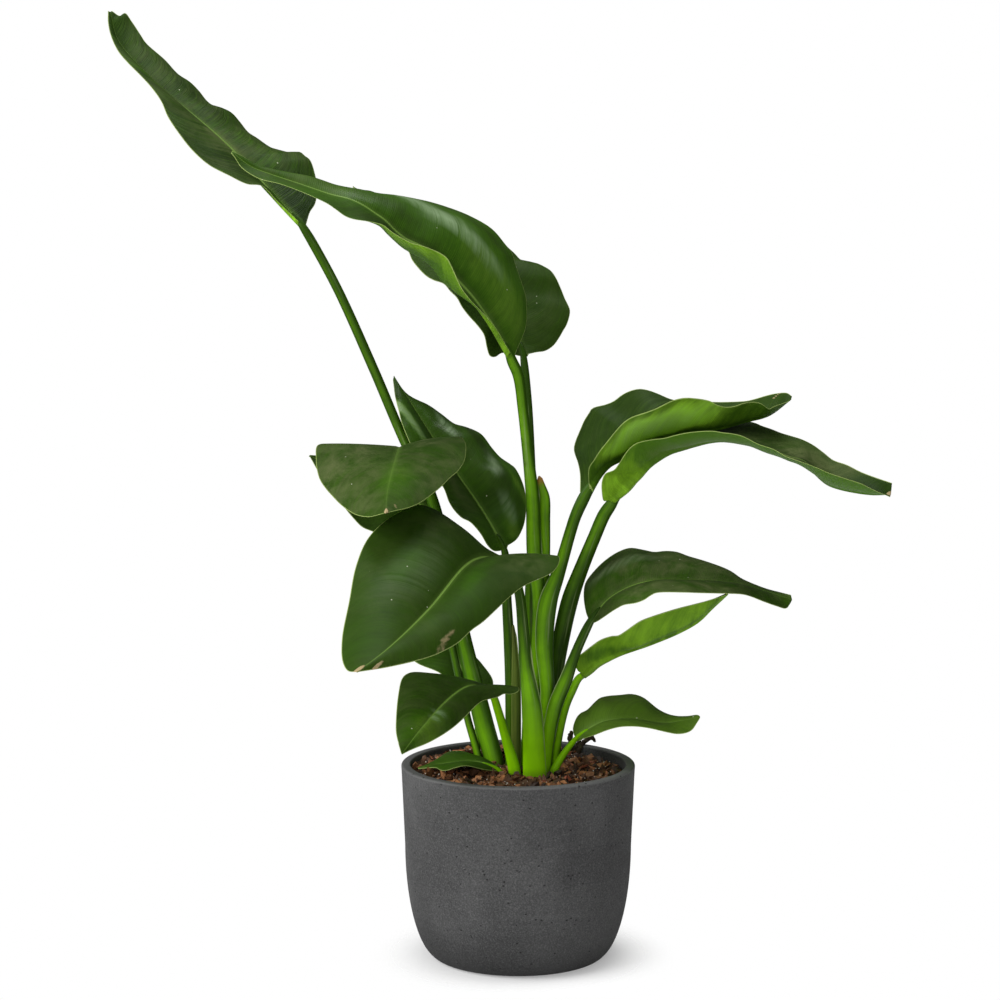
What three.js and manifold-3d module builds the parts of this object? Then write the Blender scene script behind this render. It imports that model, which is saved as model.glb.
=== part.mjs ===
// A young bird of paradise plant in a round-footed cement pot.
// Millimetres, +Z up, X to the viewer's right, Y away from the viewer.
// The origin is the middle of the pot's foot, on the surface that it stands on.
import * as THREE from 'three';
import Module from 'manifold-3d';
import { mergeVertices } from 'three/addons/utils/BufferGeometryUtils.js';

// ---------------------------------------------------------------- driving dimensions

const POT = {
  height: 193,
  rimRadius: 116,
  shoulderRadius: 112.5, // where the wall starts to curve in
  shoulderHeight: 112,
  footRadius: 80,
  wall: 9,
  floor: 14,
  lipRound: 2.5,
  sides: 40,
  outerCornerSteps: 9,
  innerCornerSteps: 5,
  lipSteps: 2,
};

const SOIL = {
  level: 184, // at the pot's wall
  dip: 3, // how much lower its middle is
  relief: 2.2, // coarse bark, up and down
  skirt: 12, // the bark layer's depth at the wall
  lap: 4, // how far the plug below runs up into it
  rings: 8,
  sides: 36,
  seed: 7,
  inset: 1.2, // the wall leans in below the rim
};

const CLEARANCE = 0.35; // between any two pieces that would touch
const OVERRUN = 1; // how far a cutter runs past the face that it cuts
const BURIED = 32; // a stalk's length below the soil

const BLADE = {
  thickness: 1.3,
  rings: 15,
  ribHalfWidth: 3,
  ribDepthAtBase: 4,
  ribDepthAtTip: 0.4,
  ribDepthShare: 0.3, // of the section's width at most, where it is narrow
  ribShare: 0.25, // most of a narrow half that the rib may take
  baseHalfWidth: 3.4,
  tipHalfWidth: 1.1,
  crowding: 0.5, // 0 spaces the rings evenly, 1 crowds them toward both ends
  columns: [0.34, 0.68, 1], // from rib to margin, past the rib's own edge
};

const STALK = { sides: 8, stepLength: 42, fewestSteps: 3 };

// The plant is drawn on an upright sheet that squarely faces the viewer, and each point is
// [across, up, toward]: across from the pot's middle and up from the foot's front edge on that
// sheet, then how far the point stands in front of the pot's middle along the line of sight.
const VIEW = {
  eye: new THREE.Vector3(-18, -2245, 672),
  tilt: THREE.MathUtils.degToRad(5.52), // looks down
  sheetDistance: 2295,
  sheetMiddle: { across: -19, up: 477 },
};

const FINISH = {
  pot: { color: 0x48494b, roughness: 0.85, metalness: 0 },
  soil: { color: 0x3b271c, roughness: 0.95, metalness: 0 },
  blade: { color: 0x2f4d22, roughness: 0.45, metalness: 0 },
  stalk: { color: 0x6a9a2c, roughness: 0.5, metalness: 0 },
  husk: { color: 0x7c7a3a, roughness: 0.6, metalness: 0 },
};

// Each leaf has a stalk, [across, up, toward, width, depth] from the soil upward, and a blade:
// its rib and both margins from the stalk to the tip, left and right as seen from the stalk with
// the upper side up. belly is how far each half bulges to its upper side, left then right.
const LEAVES = {
  // tallest, leaning back and to the left
  '01': {
    stalk: [[-24, 210, -38, 19, 9], [-36, 257, -48, 20, 9], [-54, 332, -65, 16, 8.5],
      [-82, 474, -98, 13, 8], [-115, 537, -115, 12, 8], [-145, 607, -124, 12, 7.5],
      [-182, 687, -128, 11, 7], [-214, 748, -130, 10, 6.5]],
    rib: [[-217, 753, -131], [-253, 795, -150], [-287, 830, -165], [-346, 882, -190],
      [-380, 915, -208], [-409, 967, -232]],
    left: [[-221, 756, -128], [-257, 790, -122], [-290, 803, -118], [-324, 827, -128],
      [-356, 874, -152], [-382, 905, -178], [-407, 934, -208], [-410, 966, -231]],
    right: [[-213, 752, -134], [-208, 757, -144], [-206, 772, -160], [-201, 800, -184],
      [-215, 829, -200], [-249, 832, -208], [-293, 867, -222], [-341, 902, -232],
      [-382, 949, -238], [-407, 967, -233]],
    belly: [4, 5],
  },
  // long channelled leaf over the middle
  '02': {
    stalk: [[8, 206, -24, 14, 8], [15, 285, -31, 14, 8], [19, 330, -31, 14, 8],
      [20, 377, -28, 14, 8], [16, 423, -20, 14, 8], [12, 476, -18, 12, 8], [8, 512, -17, 11, 7.5],
      [2, 566, -16, 11, 7], [-3, 602, -15, 11, 7], [-7, 616, -14, 12, 6.5]],
    rib: [[-8, 621, -13], [-17, 640, -12], [-32, 662, -8], [-64, 705, 0], [-96, 731, 8],
      [-130, 755, 15], [-189, 780, 25], [-239, 803, 30], [-290, 824, 35]],
    left: [[-12, 621, -10], [-28, 648, 18], [-48, 676, 36], [-71, 715, 52], [-98, 731, 60],
      [-139, 751, 66], [-174, 763, 62], [-219, 785, 52], [-289, 823, 36]],
    right: [[-4, 622, -17], [5, 643, -34], [8, 674, -50], [2, 703, -58], [-8, 728, -62],
      [-26, 747, -60], [-49, 763, -55], [-85, 774, -46], [-123, 780, -35], [-148, 780, -26],
      [-174, 785, -15], [-219, 801, 8], [-289, 825, 34]],
    belly: [-11, 5],
  },
  // broad leaf behind it
  '03': {
    stalk: [[6, 209, -34, 11, 7], [8, 270, -39, 11, 7], [9, 328, -41, 11, 7], [10, 388, -42, 10, 7],
      [13, 457, -42, 10, 7], [12, 512, -42, 10, 7], [9, 572, -42, 9, 6.5], [5, 616, -44, 8, 6]],
    rib: [[5, 622, -45], [-11, 667, -70], [-41, 715, -100], [-89, 757, -130], [-166, 790, -168]],
    left: [[1, 621, -43], [-14, 618, -36], [-27, 622, -30], [-35, 646, -34], [-62, 680, -50],
      [-90, 701, -74], [-112, 726, -98], [-140, 757, -130], [-165, 789, -166]],
    right: [[9, 623, -46], [22, 626, -54], [36, 631, -62], [45, 650, -74], [51, 669, -86],
      [42, 687, -96], [28, 709, -106], [6, 715, -116], [-8, 728, -126], [-49, 758, -150],
      [-132, 781, -170], [-165, 791, -169]],
    belly: [4, 6],
  },
  // glossy leaf, middle left
  '04': {
    stalk: [[-8, 209, -34, 12, 7], [-8, 287, -42, 12, 7], [-9, 337, -46, 9, 6.5],
      [-11, 373, -47, 9, 6.5], [-14, 424, -50, 8, 6]],
    rib: [[-15, 429, -51], [-27, 451, -58], [-42, 475, -70], [-61, 502, -85], [-89, 544, -112],
      [-124, 597, -150]],
    left: [[-19, 429, -48], [-28, 427, -42], [-35, 445, -36], [-57, 468, -36], [-74, 491, -46],
      [-99, 517, -62], [-111, 542, -80], [-120, 577, -124], [-124, 596, -149]],
    right: [[-12, 431, -53], [-4, 436, -60], [2, 446, -72], [6, 472, -92], [-2, 505, -112],
      [-24, 529, -126], [-58, 555, -142], [-90, 572, -150], [-114, 582, -152], [-123, 597, -151]],
    belly: [5, 6],
  },
  // drooping toward the viewer, upper left
  '05': {
    stalk: [[-39, 211, -46, 8, 6], [-52, 261, -56, 7.5, 6], [-64, 317, -62, 7.5, 6],
      [-79, 387, -66, 7.5, 6], [-99, 457, -66, 7, 5.5], [-114, 509, -63, 7, 5]],
    rib: [[-116, 514, -60], [-119, 528, -34], [-120, 530, -5], [-123, 520, 40], [-128, 502, 88],
      [-132, 482, 128], [-133, 464, 158]],
    left: [[-112, 513, -60], [-89, 524, -54], [-62, 538, -30], [-53, 535, 0], [-53, 525, 26],
      [-62, 504, 62], [-78, 489, 88], [-95, 475, 115], [-113, 467, 138], [-132, 464, 157]],
    right: [[-120, 513, -60], [-149, 522, -54], [-186, 529, -24], [-203, 528, 6], [-202, 511, 38],
      [-194, 495, 68], [-172, 471, 106], [-159, 463, 130], [-146, 460, 147], [-134, 463, 158]],
    belly: [5, 5],
  },
  // half hidden below it, pointing left
  '06': {
    stalk: [[-28, 213, -54, 8, 6], [-45, 287, -74, 7.5, 6], [-64, 367, -94, 7, 5.5],
      [-75, 437, -110, 7, 5.5], [-78, 453, -114, 7, 5]],
    rib: [[-80, 458, -117], [-112, 480, -118], [-160, 502, -112], [-209, 522, -100]],
    left: [[-81, 455, -115], [-109, 440, -104], [-134, 440, -94], [-159, 453, -88],
      [-179, 475, -86], [-197, 499, -89], [-208, 521, -99]],
    right: [[-79, 462, -119], [-92, 486, -132], [-122, 508, -140], [-165, 518, -134],
      [-208, 523, -101]],
    belly: [4, 4],
  },
  // largest, reaching toward the viewer
  '07': {
    stalk: [[16, 202, 2, 24, 9.5], [13, 268, 3, 21, 9], [7, 311, 5, 12.5, 8], [5, 337, 6, 12, 8],
      [0, 385, 8, 9.5, 7], [-9, 414, 11, 9, 6]],
    rib: [[-12, 418, 14], [-20, 421, 32], [-39, 419, 66], [-54, 411, 96], [-91, 367, 178],
      [-134, 326, 250], [-162, 309, 276]],
    left: [[-8, 416, 18], [14, 417, 24], [39, 421, 44], [35, 406, 78], [2, 389, 118],
      [-36, 355, 172], [-74, 329, 216], [-120, 313, 252], [-161, 308, 276]],
    right: [[-16, 420, 16], [-42, 433, 28], [-61, 452, 38], [-97, 472, 64], [-125, 462, 88],
      [-150, 440, 122], [-163, 411, 156], [-170, 375, 192], [-177, 338, 230], [-176, 314, 260],
      [-163, 308, 275]],
    belly: [7, 8],
  },
  // lower left, tip down toward the viewer
  '08': {
    stalk: [[-4, 203, -5, 13, 7], [-15, 246, -2, 9, 6], [-22, 270, 8, 8, 5.5], [-25, 279, 15, 8, 5]],
    rib: [[-27, 282, 20], [-40, 290, 34], [-56, 289, 52], [-75, 275, 86], [-99, 247, 134],
      [-117, 222, 165]],
    left: [[-23, 281, 22], [-10, 287, 26], [-2, 292, 34], [-14, 284, 44], [-32, 278, 60],
      [-47, 266, 82], [-72, 245, 116], [-100, 233, 146], [-116, 222, 165]],
    right: [[-30, 284, 18], [-42, 296, 14], [-72, 301, 18], [-108, 305, 42], [-118, 299, 60],
      [-123, 280, 92], [-124, 256, 124], [-122, 236, 146], [-117, 223, 165]],
    belly: [4, 5],
  },
  // dark leaf behind the two in front
  '09': {
    stalk: [[-42, 215, -60, 6.5, 5], [-41, 257, -74, 6.5, 5], [-41, 269, -79, 6.5, 4.5]],
    rib: [[-41, 273, -84], [-53, 300, -98], [-74, 335, -118], [-95, 370, -140], [-112, 392, -155]],
    left: [[-44, 273, -82], [-62, 285, -80], [-78, 303, -86], [-105, 316, -98], [-124, 345, -122],
      [-124, 372, -142], [-113, 391, -154]],
    right: [[-38, 273, -85], [-28, 284, -92], [-26, 296, -100], [-37, 313, -114], [-50, 328, -126],
      [-66, 358, -144], [-90, 385, -156], [-111, 392, -156]],
    belly: [4, 4],
  },
  // small one lying low on the left
  '10': {
    stalk: [[-17, 202, 2, 5.5, 3.5], [-20, 207, 2.5, 5, 3.2]],
    rib: [[-22, 209, 3], [-43, 215, 8], [-64, 217, 10], [-84, 214, 13], [-101, 209, 14]],
    left: [[-23, 207, 5], [-33, 208, 18], [-48, 210, 28], [-62, 208, 31], [-84, 208, 22],
      [-100, 208, 15]],
    right: [[-22, 211, 1], [-29, 216, -12], [-43, 221, -22], [-58, 226, -24], [-72, 226, -18],
      [-86, 219, -4], [-100, 210, 13]],
    belly: [2, 2],
  },
  // small one low on the right
  '11': {
    stalk: [[34, 203, -5, 9, 6], [44, 222, -6, 7, 5.5], [55, 236, -4, 6, 4.5]],
    rib: [[57, 239, -2], [70, 252, 2], [92, 258, 8], [114, 259, 12], [145, 256, 18], [180, 261, 26]],
    left: [[56, 242, -5], [61, 258, -20], [80, 278, -26], [113, 283, -28], [124, 278, -25],
      [142, 266, -8], [160, 261, 10], [179, 262, 24]],
    right: [[59, 237, 0], [70, 241, 18], [99, 250, 36], [127, 250, 44], [139, 246, 45],
      [154, 244, 42], [168, 245, 36], [179, 259, 28]],
    belly: [3, 3],
  },
  // folded pale one on the right
  '12': {
    stalk: [[38, 208, -27, 8, 6], [52, 277, -23, 8, 5.5], [61, 298, -20, 8, 5]],
    rib: [[63, 303, -18], [75, 310, -12], [89, 321, -5], [111, 329, 0], [154, 346, 8],
      [178, 356, 10], [209, 383, 5]],
    left: [[63, 306, -22], [67, 315, -34], [80, 327, -38], [118, 346, -33], [168, 366, -20],
      [192, 377, -11], [208, 384, 4]],
    right: [[60, 306, -17], [66, 322, -13], [78, 334, 0], [92, 341, 16], [117, 353, 22],
      [139, 363, 26], [168, 371, 26], [190, 376, 18], [209, 382, 6]],
    belly: [-4, -4],
  },
  // dark one, right of the middle
  '13': {
    stalk: [[26, 205, -13, 11, 7], [35, 268, -9, 15, 8], [47, 298, -7, 14, 7.5],
      [54, 317, -5, 10, 6.5], [60, 332, -3, 9.5, 6], [70, 353, -1, 9, 5.5]],
    rib: [[72, 357, 0], [88, 377, 4], [110, 390, 8], [132, 396, 12], [168, 396, 16], [212, 394, 16],
      [256, 383, 14], [272, 374, 12]],
    left: [[69, 359, -4], [67, 374, -28], [66, 385, -38], [79, 409, -48], [110, 429, -55],
      [130, 425, -55], [157, 425, -50], [202, 409, -32], [258, 386, -2], [273, 377, 10]],
    right: [[75, 356, 3], [82, 357, 20], [105, 372, 50], [118, 375, 58], [139, 384, 66],
      [183, 384, 62], [234, 380, 42], [262, 369, 26], [271, 371, 14]],
    belly: [4, 5],
  },
  // long arching one, far right
  '14': {
    stalk: [[23, 211, -43, 13, 8], [33, 277, -50, 13, 8], [41, 332, -48, 14, 7.5],
      [52, 377, -39, 14, 7.5], [61, 405, -30, 13, 7], [75, 439, -18, 13, 7], [91, 471, -7, 12, 6.5]],
    rib: [[94, 477, -3], [106, 485, 2], [129, 506, 12], [157, 523, 22], [186, 532, 32],
      [211, 535, 40], [244, 530, 50], [278, 517, 60], [295, 502, 65], [318, 491, 68],
      [345, 486, 73], [373, 487, 76]],
    left: [[95, 481, -7], [92, 492, -20], [100, 506, -30], [118, 525, -38], [150, 537, -40],
      [185, 549, -35], [224, 556, -25], [244, 552, -15], [261, 543, -5], [297, 528, 18],
      [316, 512, 35], [349, 501, 55], [373, 488, 75]],
    right: [[90, 477, 1], [86, 484, 16], [87, 500, 27], [104, 521, 38], [130, 537, 48],
      [163, 543, 62], [203, 545, 78], [230, 539, 88], [258, 524, 98], [288, 513, 105],
      [311, 502, 105], [341, 494, 96], [373, 486, 77]],
    belly: [-3, -4],
  },
  // upper right, folded like a channel
  '15': {
    stalk: [[25, 208, -27, 14, 8], [28, 285, -19, 14, 8.5], [25, 337, -18, 19, 8.5],
      [29, 376, -17, 20, 8], [39, 403, -15, 13, 7.5], [51, 447, -14, 12, 7], [65, 482, -13, 12, 6.5]],
    rib: [[67, 487, -12], [75, 503, -12], [87, 511, -10], [102, 518, -8], [127, 536, -5],
      [163, 545, 0], [194, 548, 3], [225, 556, 5], [249, 562, 5],
      [272, 578, 3]],
    left: [[64, 488, -14], [60, 502, -32], [55, 527, -50], [61, 551, -60], [72, 568, -66],
      [91, 574, -68], [122, 588, -66], [154, 578, -54], [196, 575, -35], [228, 576, -24],
      [255, 583, -14], [271, 580, 0]],
    right: [[71, 488, -10], [67, 500, 0], [70, 507, 8], [87, 533, 18], [102, 553, 25],
      [136, 568, 35], [171, 579, 35], [188, 578, 32], [209, 570, 28], [225, 574, 26],
      [249, 572, 20], [272, 578, 6]],
    belly: [-3, -4],
  },
};

// young shoots, drawn as a stalk is and ending in a point
const SHOOTS = {
  rolled_leaf: [[34, 210, -39, 8, 6], [29, 285, -37, 8, 6], [26, 377, -38, 8, 6],
    [27, 423, -31, 8, 6], [26, 458, -27, 11, 6], [26, 482, -25, 9, 5.5], [21, 500, -23, 2, 2]],
  husk: [[-3, 206, -21, 8, 5], [-2, 282, -26, 8, 5], [-4, 320, -32, 6, 4], [-6, 352, -37, 2, 2]],
};

// ---------------------------------------------------------------- drawing and solids

const place = ([across, up, toward]) => {
  const { eye, tilt, sheetDistance, sheetMiddle } = VIEW;
  const side = across - sheetMiddle.across;
  const rise = up - sheetMiddle.up;
  const sight = new THREE.Vector3(
    side,
    sheetDistance * Math.cos(tilt) + rise * Math.sin(tilt),
    rise * Math.cos(tilt) - sheetDistance * Math.sin(tilt),
  );
  const distance = -toward - eye.y;
  return sight.multiplyScalar(distance / sight.y).add(eye);
};

const smoothCurve = (rows) => new THREE.CatmullRomCurve3(rows.map(place), false, 'centripetal');

const lerp = THREE.MathUtils.lerp;

// a closed loft through rings that all have the same number of points
const loft = (rings) => {
  const count = rings[0].length;
  const positions = rings.flat().flatMap((point) => [point.x, point.y, point.z]);
  const faces = [];
  for (let ring = 0; ring + 1 < rings.length; ring += 1) {
    for (let k = 0; k < count; k += 1) {
      const a = ring * count + k;
      const b = ring * count + (k + 1) % count;
      faces.push(a, b, b + count, a, b + count, a + count);
    }
  }
  const last = (rings.length - 1) * count;
  for (let k = 1; k + 1 < count; k += 1) {
    faces.push(0, k + 1, k, last, last + k, last + k + 1);
  }
  const geometry = new THREE.BufferGeometry();
  geometry.setAttribute('position', new THREE.Float32BufferAttribute(positions, 3));
  geometry.setIndex(faces);
  return geometry;
};

const wasm = await Module();
wasm.setup();

const toSolid = (geometry) => {
  const bare = geometry.clone();
  bare.deleteAttribute('normal');
  bare.deleteAttribute('uv');
  const merged = mergeVertices(bare);
  const corners = Array.from(merged.index.array);
  const kept = [];
  for (let k = 0; k < corners.length; k += 3) {
    const [a, b, c] = corners.slice(k, k + 3);
    if (a !== b && b !== c && c !== a) kept.push(a, b, c);
  }
  return new wasm.Manifold(new wasm.Mesh({
    numProp: 3,
    vertProperties: merged.attributes.position.array,
    triVerts: Uint32Array.from(kept),
  }));
};

const toGeometry = (solid) => {
  const mesh = solid.getMesh();
  const geometry = new THREE.BufferGeometry();
  geometry.setAttribute('position', new THREE.BufferAttribute(mesh.vertProperties, 3));
  geometry.setIndex(new THREE.BufferAttribute(mesh.triVerts, 1));
  return geometry;
};

// ---------------------------------------------------------------- pot and soil

// the corner between foot and wall is a quarter of an ellipse
const footCorner = (footRadius, wallRadius, bottom, top, steps) =>
  Array.from({ length: steps + 1 }, (_, k) => {
    const turn = (k / steps) * Math.PI / 2;
    return new THREE.Vector2(
      footRadius + (wallRadius - footRadius) * Math.sin(turn),
      top - (top - bottom) * Math.cos(turn),
    );
  });

const turned = (profile) => {
  const geometry = new THREE.LatheGeometry(profile, POT.sides);
  geometry.rotateX(Math.PI / 2);
  return toSolid(geometry);
};

const hollowProfile = (shrink, top) => [
  new THREE.Vector2(0, POT.floor + shrink),
  ...footCorner(POT.footRadius - POT.wall - shrink, POT.shoulderRadius - POT.wall - shrink,
    POT.floor + shrink, POT.shoulderHeight, POT.innerCornerSteps),
  new THREE.Vector2(lerp(POT.shoulderRadius, POT.rimRadius,
    (top - POT.shoulderHeight) / (POT.height - POT.shoulderHeight)) - POT.wall - shrink, top),
  new THREE.Vector2(0, top),
];

const potSolid = () => {
  const { height, rimRadius, wall, lipRound, lipSteps } = POT;
  const lip = Array.from({ length: lipSteps + 1 }, (_, k) => {
    const turn = (k / lipSteps) * Math.PI / 2;
    return new THREE.Vector2(
      rimRadius - lipRound + lipRound * Math.cos(turn),
      height - lipRound + lipRound * Math.sin(turn),
    );
  });
  const outside = turned([
    new THREE.Vector2(0, 0),
    ...footCorner(POT.footRadius, POT.shoulderRadius, 0, POT.shoulderHeight, POT.outerCornerSteps),
    ...lip,
    new THREE.Vector2(0, height),
  ]);
  const throat = [
    new THREE.Vector2(0, height - lipRound),
    new THREE.Vector2(rimRadius - wall, height - lipRound),
    new THREE.Vector2(rimRadius - wall + lipRound / 2, height + OVERRUN),
    new THREE.Vector2(0, height + OVERRUN),
  ];
  return outside.subtract(turned(hollowProfile(0, height - lipRound))).subtract(turned(throat));
};

// the same run of numbers from 0 to 1 each time, by the Lehmer rule
const seeded = (seed) => {
  const factor = 16807;
  const prime = 2147483647;
  let state = seed;
  return () => {
    state = (state * factor) % prime;
    return state / prime;
  };
};

// the top is coarse bark: every point of a polar net goes up or down by a seeded draw
const soilSolid = (holes) => {
  const random = seeded(SOIL.seed);
  const radius = POT.rimRadius - POT.wall - CLEARANCE - SOIL.inset;
  const rings = [];
  for (let ring = 0; ring < SOIL.rings; ring += 1) {
    const reach = (ring + 0.5) / (SOIL.rings - 0.5);
    rings.unshift(Array.from({ length: SOIL.sides }, (_, k) => {
      const turn = ((k + (ring % 2) * 0.5) / SOIL.sides) * 2 * Math.PI;
      const rough = ring === SOIL.rings - 1 ? 0 : (random() * 2 - 1) * SOIL.relief;
      const rise = SOIL.level - SOIL.dip * (1 - reach * reach) + rough;
      return new THREE.Vector3(radius * reach * Math.cos(turn), radius * reach * Math.sin(turn), rise);
    }));
  }
  const skirt = rings[0].map((point) => point.clone().setZ(SOIL.level - SOIL.skirt));
  const top = toSolid(loft([skirt, ...rings]));
  const plug = turned(hollowProfile(CLEARANCE, SOIL.level - SOIL.skirt + SOIL.lap));
  const body = holes.reduce((solid, hole) => solid.subtract(hole), plug.add(top));
  return body.decompose().sort((a, b) => b.volume() - a.volume())[0];
};

// ---------------------------------------------------------------- stalks

const stalkRows = (rows) => {
  const root = place(rows[0]);
  root.z -= BURIED;
  return [root, ...rows.map(place)];
};

// a tapering stalk of oval section; spare makes it larger all round, for the hole it stands in
const stalkGeometry = (rows, spare = 0) => {
  const points = stalkRows(rows);
  const sizes = [rows[0], ...rows].map(([, , , width, depth]) =>
    [width / 2 + spare, depth / 2 + spare]);
  const curve = new THREE.CatmullRomCurve3(points, false, 'centripetal');
  const steps = Math.max(STALK.fewestSteps, Math.round(curve.getLength() / STALK.stepLength));
  const rings = [];
  for (let step = 0; step <= steps; step += 1) {
    const t = curve.getUtoTmapping(step / steps);
    const along = curve.getTangent(t);
    const wide = new THREE.Vector3().crossVectors(new THREE.Vector3(0, 1, 0), along).normalize();
    const deep = new THREE.Vector3().crossVectors(along, wide).normalize();
    const span = t * (sizes.length - 1);
    const low = Math.min(Math.floor(span), sizes.length - 2);
    const [halfWidth, halfDepth] = [0, 1].map((k) =>
      lerp(sizes[low][k], sizes[low + 1][k], span - low));
    const centre = curve.getPoint(t);
    if (step === 0) centre.z -= spare;
    rings.push(Array.from({ length: STALK.sides }, (_, k) => {
      const turn = ((k + 0.5) / STALK.sides) * 2 * Math.PI;
      return centre.clone()
        .addScaledVector(wide, halfWidth * Math.cos(turn))
        .addScaledVector(deep, halfDepth * Math.sin(turn));
    }));
  }
  return loft(rings);
};

// ---------------------------------------------------------------- blades

// a point between the rib and one margin, raised to the upper side by the half's bulge
const bulged = (rib, margin, upward, belly, fraction) =>
  rib.clone().lerp(margin, fraction).addScaledVector(upward, belly * 4 * fraction * (1 - fraction));

// the first and last sections are narrow, and lie as the ones next to them do
const bladeSections = ({ rib, left, right }) => {
  const curves = [rib, left, right].map(smoothCurve);
  const sections = Array.from({ length: BLADE.rings + 1 }, (_, ring) => {
    const even = ring / BLADE.rings;
    const s = lerp(even, (1 - Math.cos(Math.PI * even)) / 2, BLADE.crowding);
    const [middle, leftEdge, rightEdge] = curves.map((curve) => curve.getPointAt(s));
    return { s, middle, leftEdge, rightEdge, along: curves[0].getTangentAt(s) };
  });
  for (const [end, next, halfWidth] of [
    [sections[0], sections[1], BLADE.baseHalfWidth],
    [sections.at(-1), sections.at(-2), BLADE.tipHalfWidth],
  ]) {
    const side = next.leftEdge.clone().sub(next.rightEdge).setLength(halfWidth);
    end.leftEdge = end.middle.clone().add(side);
    end.rightEdge = end.middle.clone().sub(side);
  }
  return sections;
};

const bladeGeometry = (leaf) => {
  const rings = bladeSections(leaf).map(({ s, middle, leftEdge, rightEdge, along }) => {
    const across = leftEdge.clone().sub(rightEdge);
    const upward = new THREE.Vector3().crossVectors(along, across).normalize();
    const fade = Math.sin(Math.PI * s);
    const ribDepth = Math.min(lerp(BLADE.ribDepthAtBase, BLADE.ribDepthAtTip, s),
      BLADE.ribDepthShare * across.length());
    const section = [];
    for (const [edge, bulge, side] of [[rightEdge, leaf.belly[1], -1], [leftEdge, leaf.belly[0], 1]]) {
      const ribEdge = Math.min(BLADE.ribShare, BLADE.ribHalfWidth / middle.distanceTo(edge));
      const columns = [ribEdge, ...BLADE.columns].map((fraction) =>
        bulged(middle, edge, upward, bulge * fade, fraction));
      section.push(...(side < 0 ? columns.reverse() : columns));
    }
    const last = section.length - 1;
    const facing = section.map((point, k) => {
      const reach = section[Math.min(k + 1, last)].clone().sub(section[Math.max(k - 1, 0)]);
      return new THREE.Vector3().crossVectors(along, reach).normalize();
    });
    const half = BLADE.thickness / 2;
    const ribColumns = [BLADE.columns.length, BLADE.columns.length + 1];
    return {
      upper: section.map((point, k) => point.clone().addScaledVector(facing[k], half)),
      lower: section.map((point, k) =>
        point.clone().addScaledVector(facing[k], -half - (ribColumns.includes(k) ? ribDepth : 0))),
    };
  });
  return slab(rings);
};

// upper and lower nets closed round their edges, both split into triangles alike
const slab = (rings) => {
  const width = rings[0].upper.length;
  const points = rings.flatMap(({ upper, lower }) => [...upper, ...lower]);
  const at = (ring, k, below) => ring * 2 * width + (below ? width : 0) + k;
  const faces = [];
  const last = rings.length - 1;
  for (let ring = 0; ring < last; ring += 1) {
    for (let k = 0; k + 1 < width; k += 1) {
      faces.push(at(ring, k), at(ring + 1, k), at(ring + 1, k + 1));
      faces.push(at(ring, k), at(ring + 1, k + 1), at(ring, k + 1));
      faces.push(at(ring, k, true), at(ring + 1, k + 1, true), at(ring + 1, k, true));
      faces.push(at(ring, k, true), at(ring, k + 1, true), at(ring + 1, k + 1, true));
    }
    const end = width - 1;
    faces.push(at(ring, 0), at(ring, 0, true), at(ring + 1, 0, true));
    faces.push(at(ring, 0), at(ring + 1, 0, true), at(ring + 1, 0));
    faces.push(at(ring, end), at(ring + 1, end), at(ring + 1, end, true));
    faces.push(at(ring, end), at(ring + 1, end, true), at(ring, end, true));
  }
  for (let k = 0; k + 1 < width; k += 1) {
    faces.push(at(0, k), at(0, k + 1), at(0, k + 1, true), at(0, k), at(0, k + 1, true), at(0, k, true));
    faces.push(at(last, k), at(last, k + 1, true), at(last, k + 1));
    faces.push(at(last, k), at(last, k, true), at(last, k + 1, true));
  }
  const geometry = new THREE.BufferGeometry();
  geometry.setAttribute('position',
    new THREE.Float32BufferAttribute(points.flatMap((point) => [point.x, point.y, point.z]), 3));
  geometry.setIndex(faces);
  return geometry;
};

// ---------------------------------------------------------------- the plant

const plant = new THREE.Group();

const addPiece = (name, geometry, finish) => {
  geometry.computeVertexNormals();
  const mesh = new THREE.Mesh(geometry, new THREE.MeshStandardMaterial(finish));
  mesh.name = name;
  plant.add(mesh);
};

const standing = [...Object.values(LEAVES).map((leaf) => leaf.stalk), ...Object.values(SHOOTS)];
const holes = standing.map((rows) => toSolid(stalkGeometry(rows, CLEARANCE)));

addPiece('pot', toGeometry(potSolid()), FINISH.pot);
addPiece('soil', toGeometry(soilSolid(holes)), FINISH.soil);
for (const [number, leaf] of Object.entries(LEAVES)) {
  addPiece(`stalk_${number}`, stalkGeometry(leaf.stalk), FINISH.stalk);
  addPiece(`blade_${number}`, bladeGeometry(leaf), FINISH.blade);
}
addPiece('rolled_leaf', stalkGeometry(SHOOTS.rolled_leaf), FINISH.stalk);
addPiece('husk', stalkGeometry(SHOOTS.husk), FINISH.husk);

export default plant;
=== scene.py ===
"""A young bird of paradise in a round-footed cement pot, on a pale studio floor.

Lengths in the tables are millimetres, and every Blender object is in metres.
X is to the viewer's right, Y away from the viewer, and Z up from the pot's foot.
"""

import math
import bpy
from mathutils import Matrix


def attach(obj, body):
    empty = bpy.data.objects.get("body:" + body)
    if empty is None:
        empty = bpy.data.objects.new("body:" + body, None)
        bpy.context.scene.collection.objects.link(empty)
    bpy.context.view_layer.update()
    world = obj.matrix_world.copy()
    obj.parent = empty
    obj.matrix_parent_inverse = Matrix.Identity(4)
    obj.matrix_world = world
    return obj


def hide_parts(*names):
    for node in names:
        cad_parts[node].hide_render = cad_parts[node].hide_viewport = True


bl_info = {
    "name": "Potted bird of paradise",
    "version": (1, 0, 0),
    "blender": (4, 5, 0),
    "location": "3D View > Sidebar > Plant",
    "description": "Builds the pot, the soil, the leaf stalks and the leaf blades of a house plant",
    "category": "Add Mesh",
}

import bmesh
import bpy
import numpy as np
from bpy.props import FloatProperty, FloatVectorProperty, IntProperty, PointerProperty
from mathutils import Vector

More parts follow.
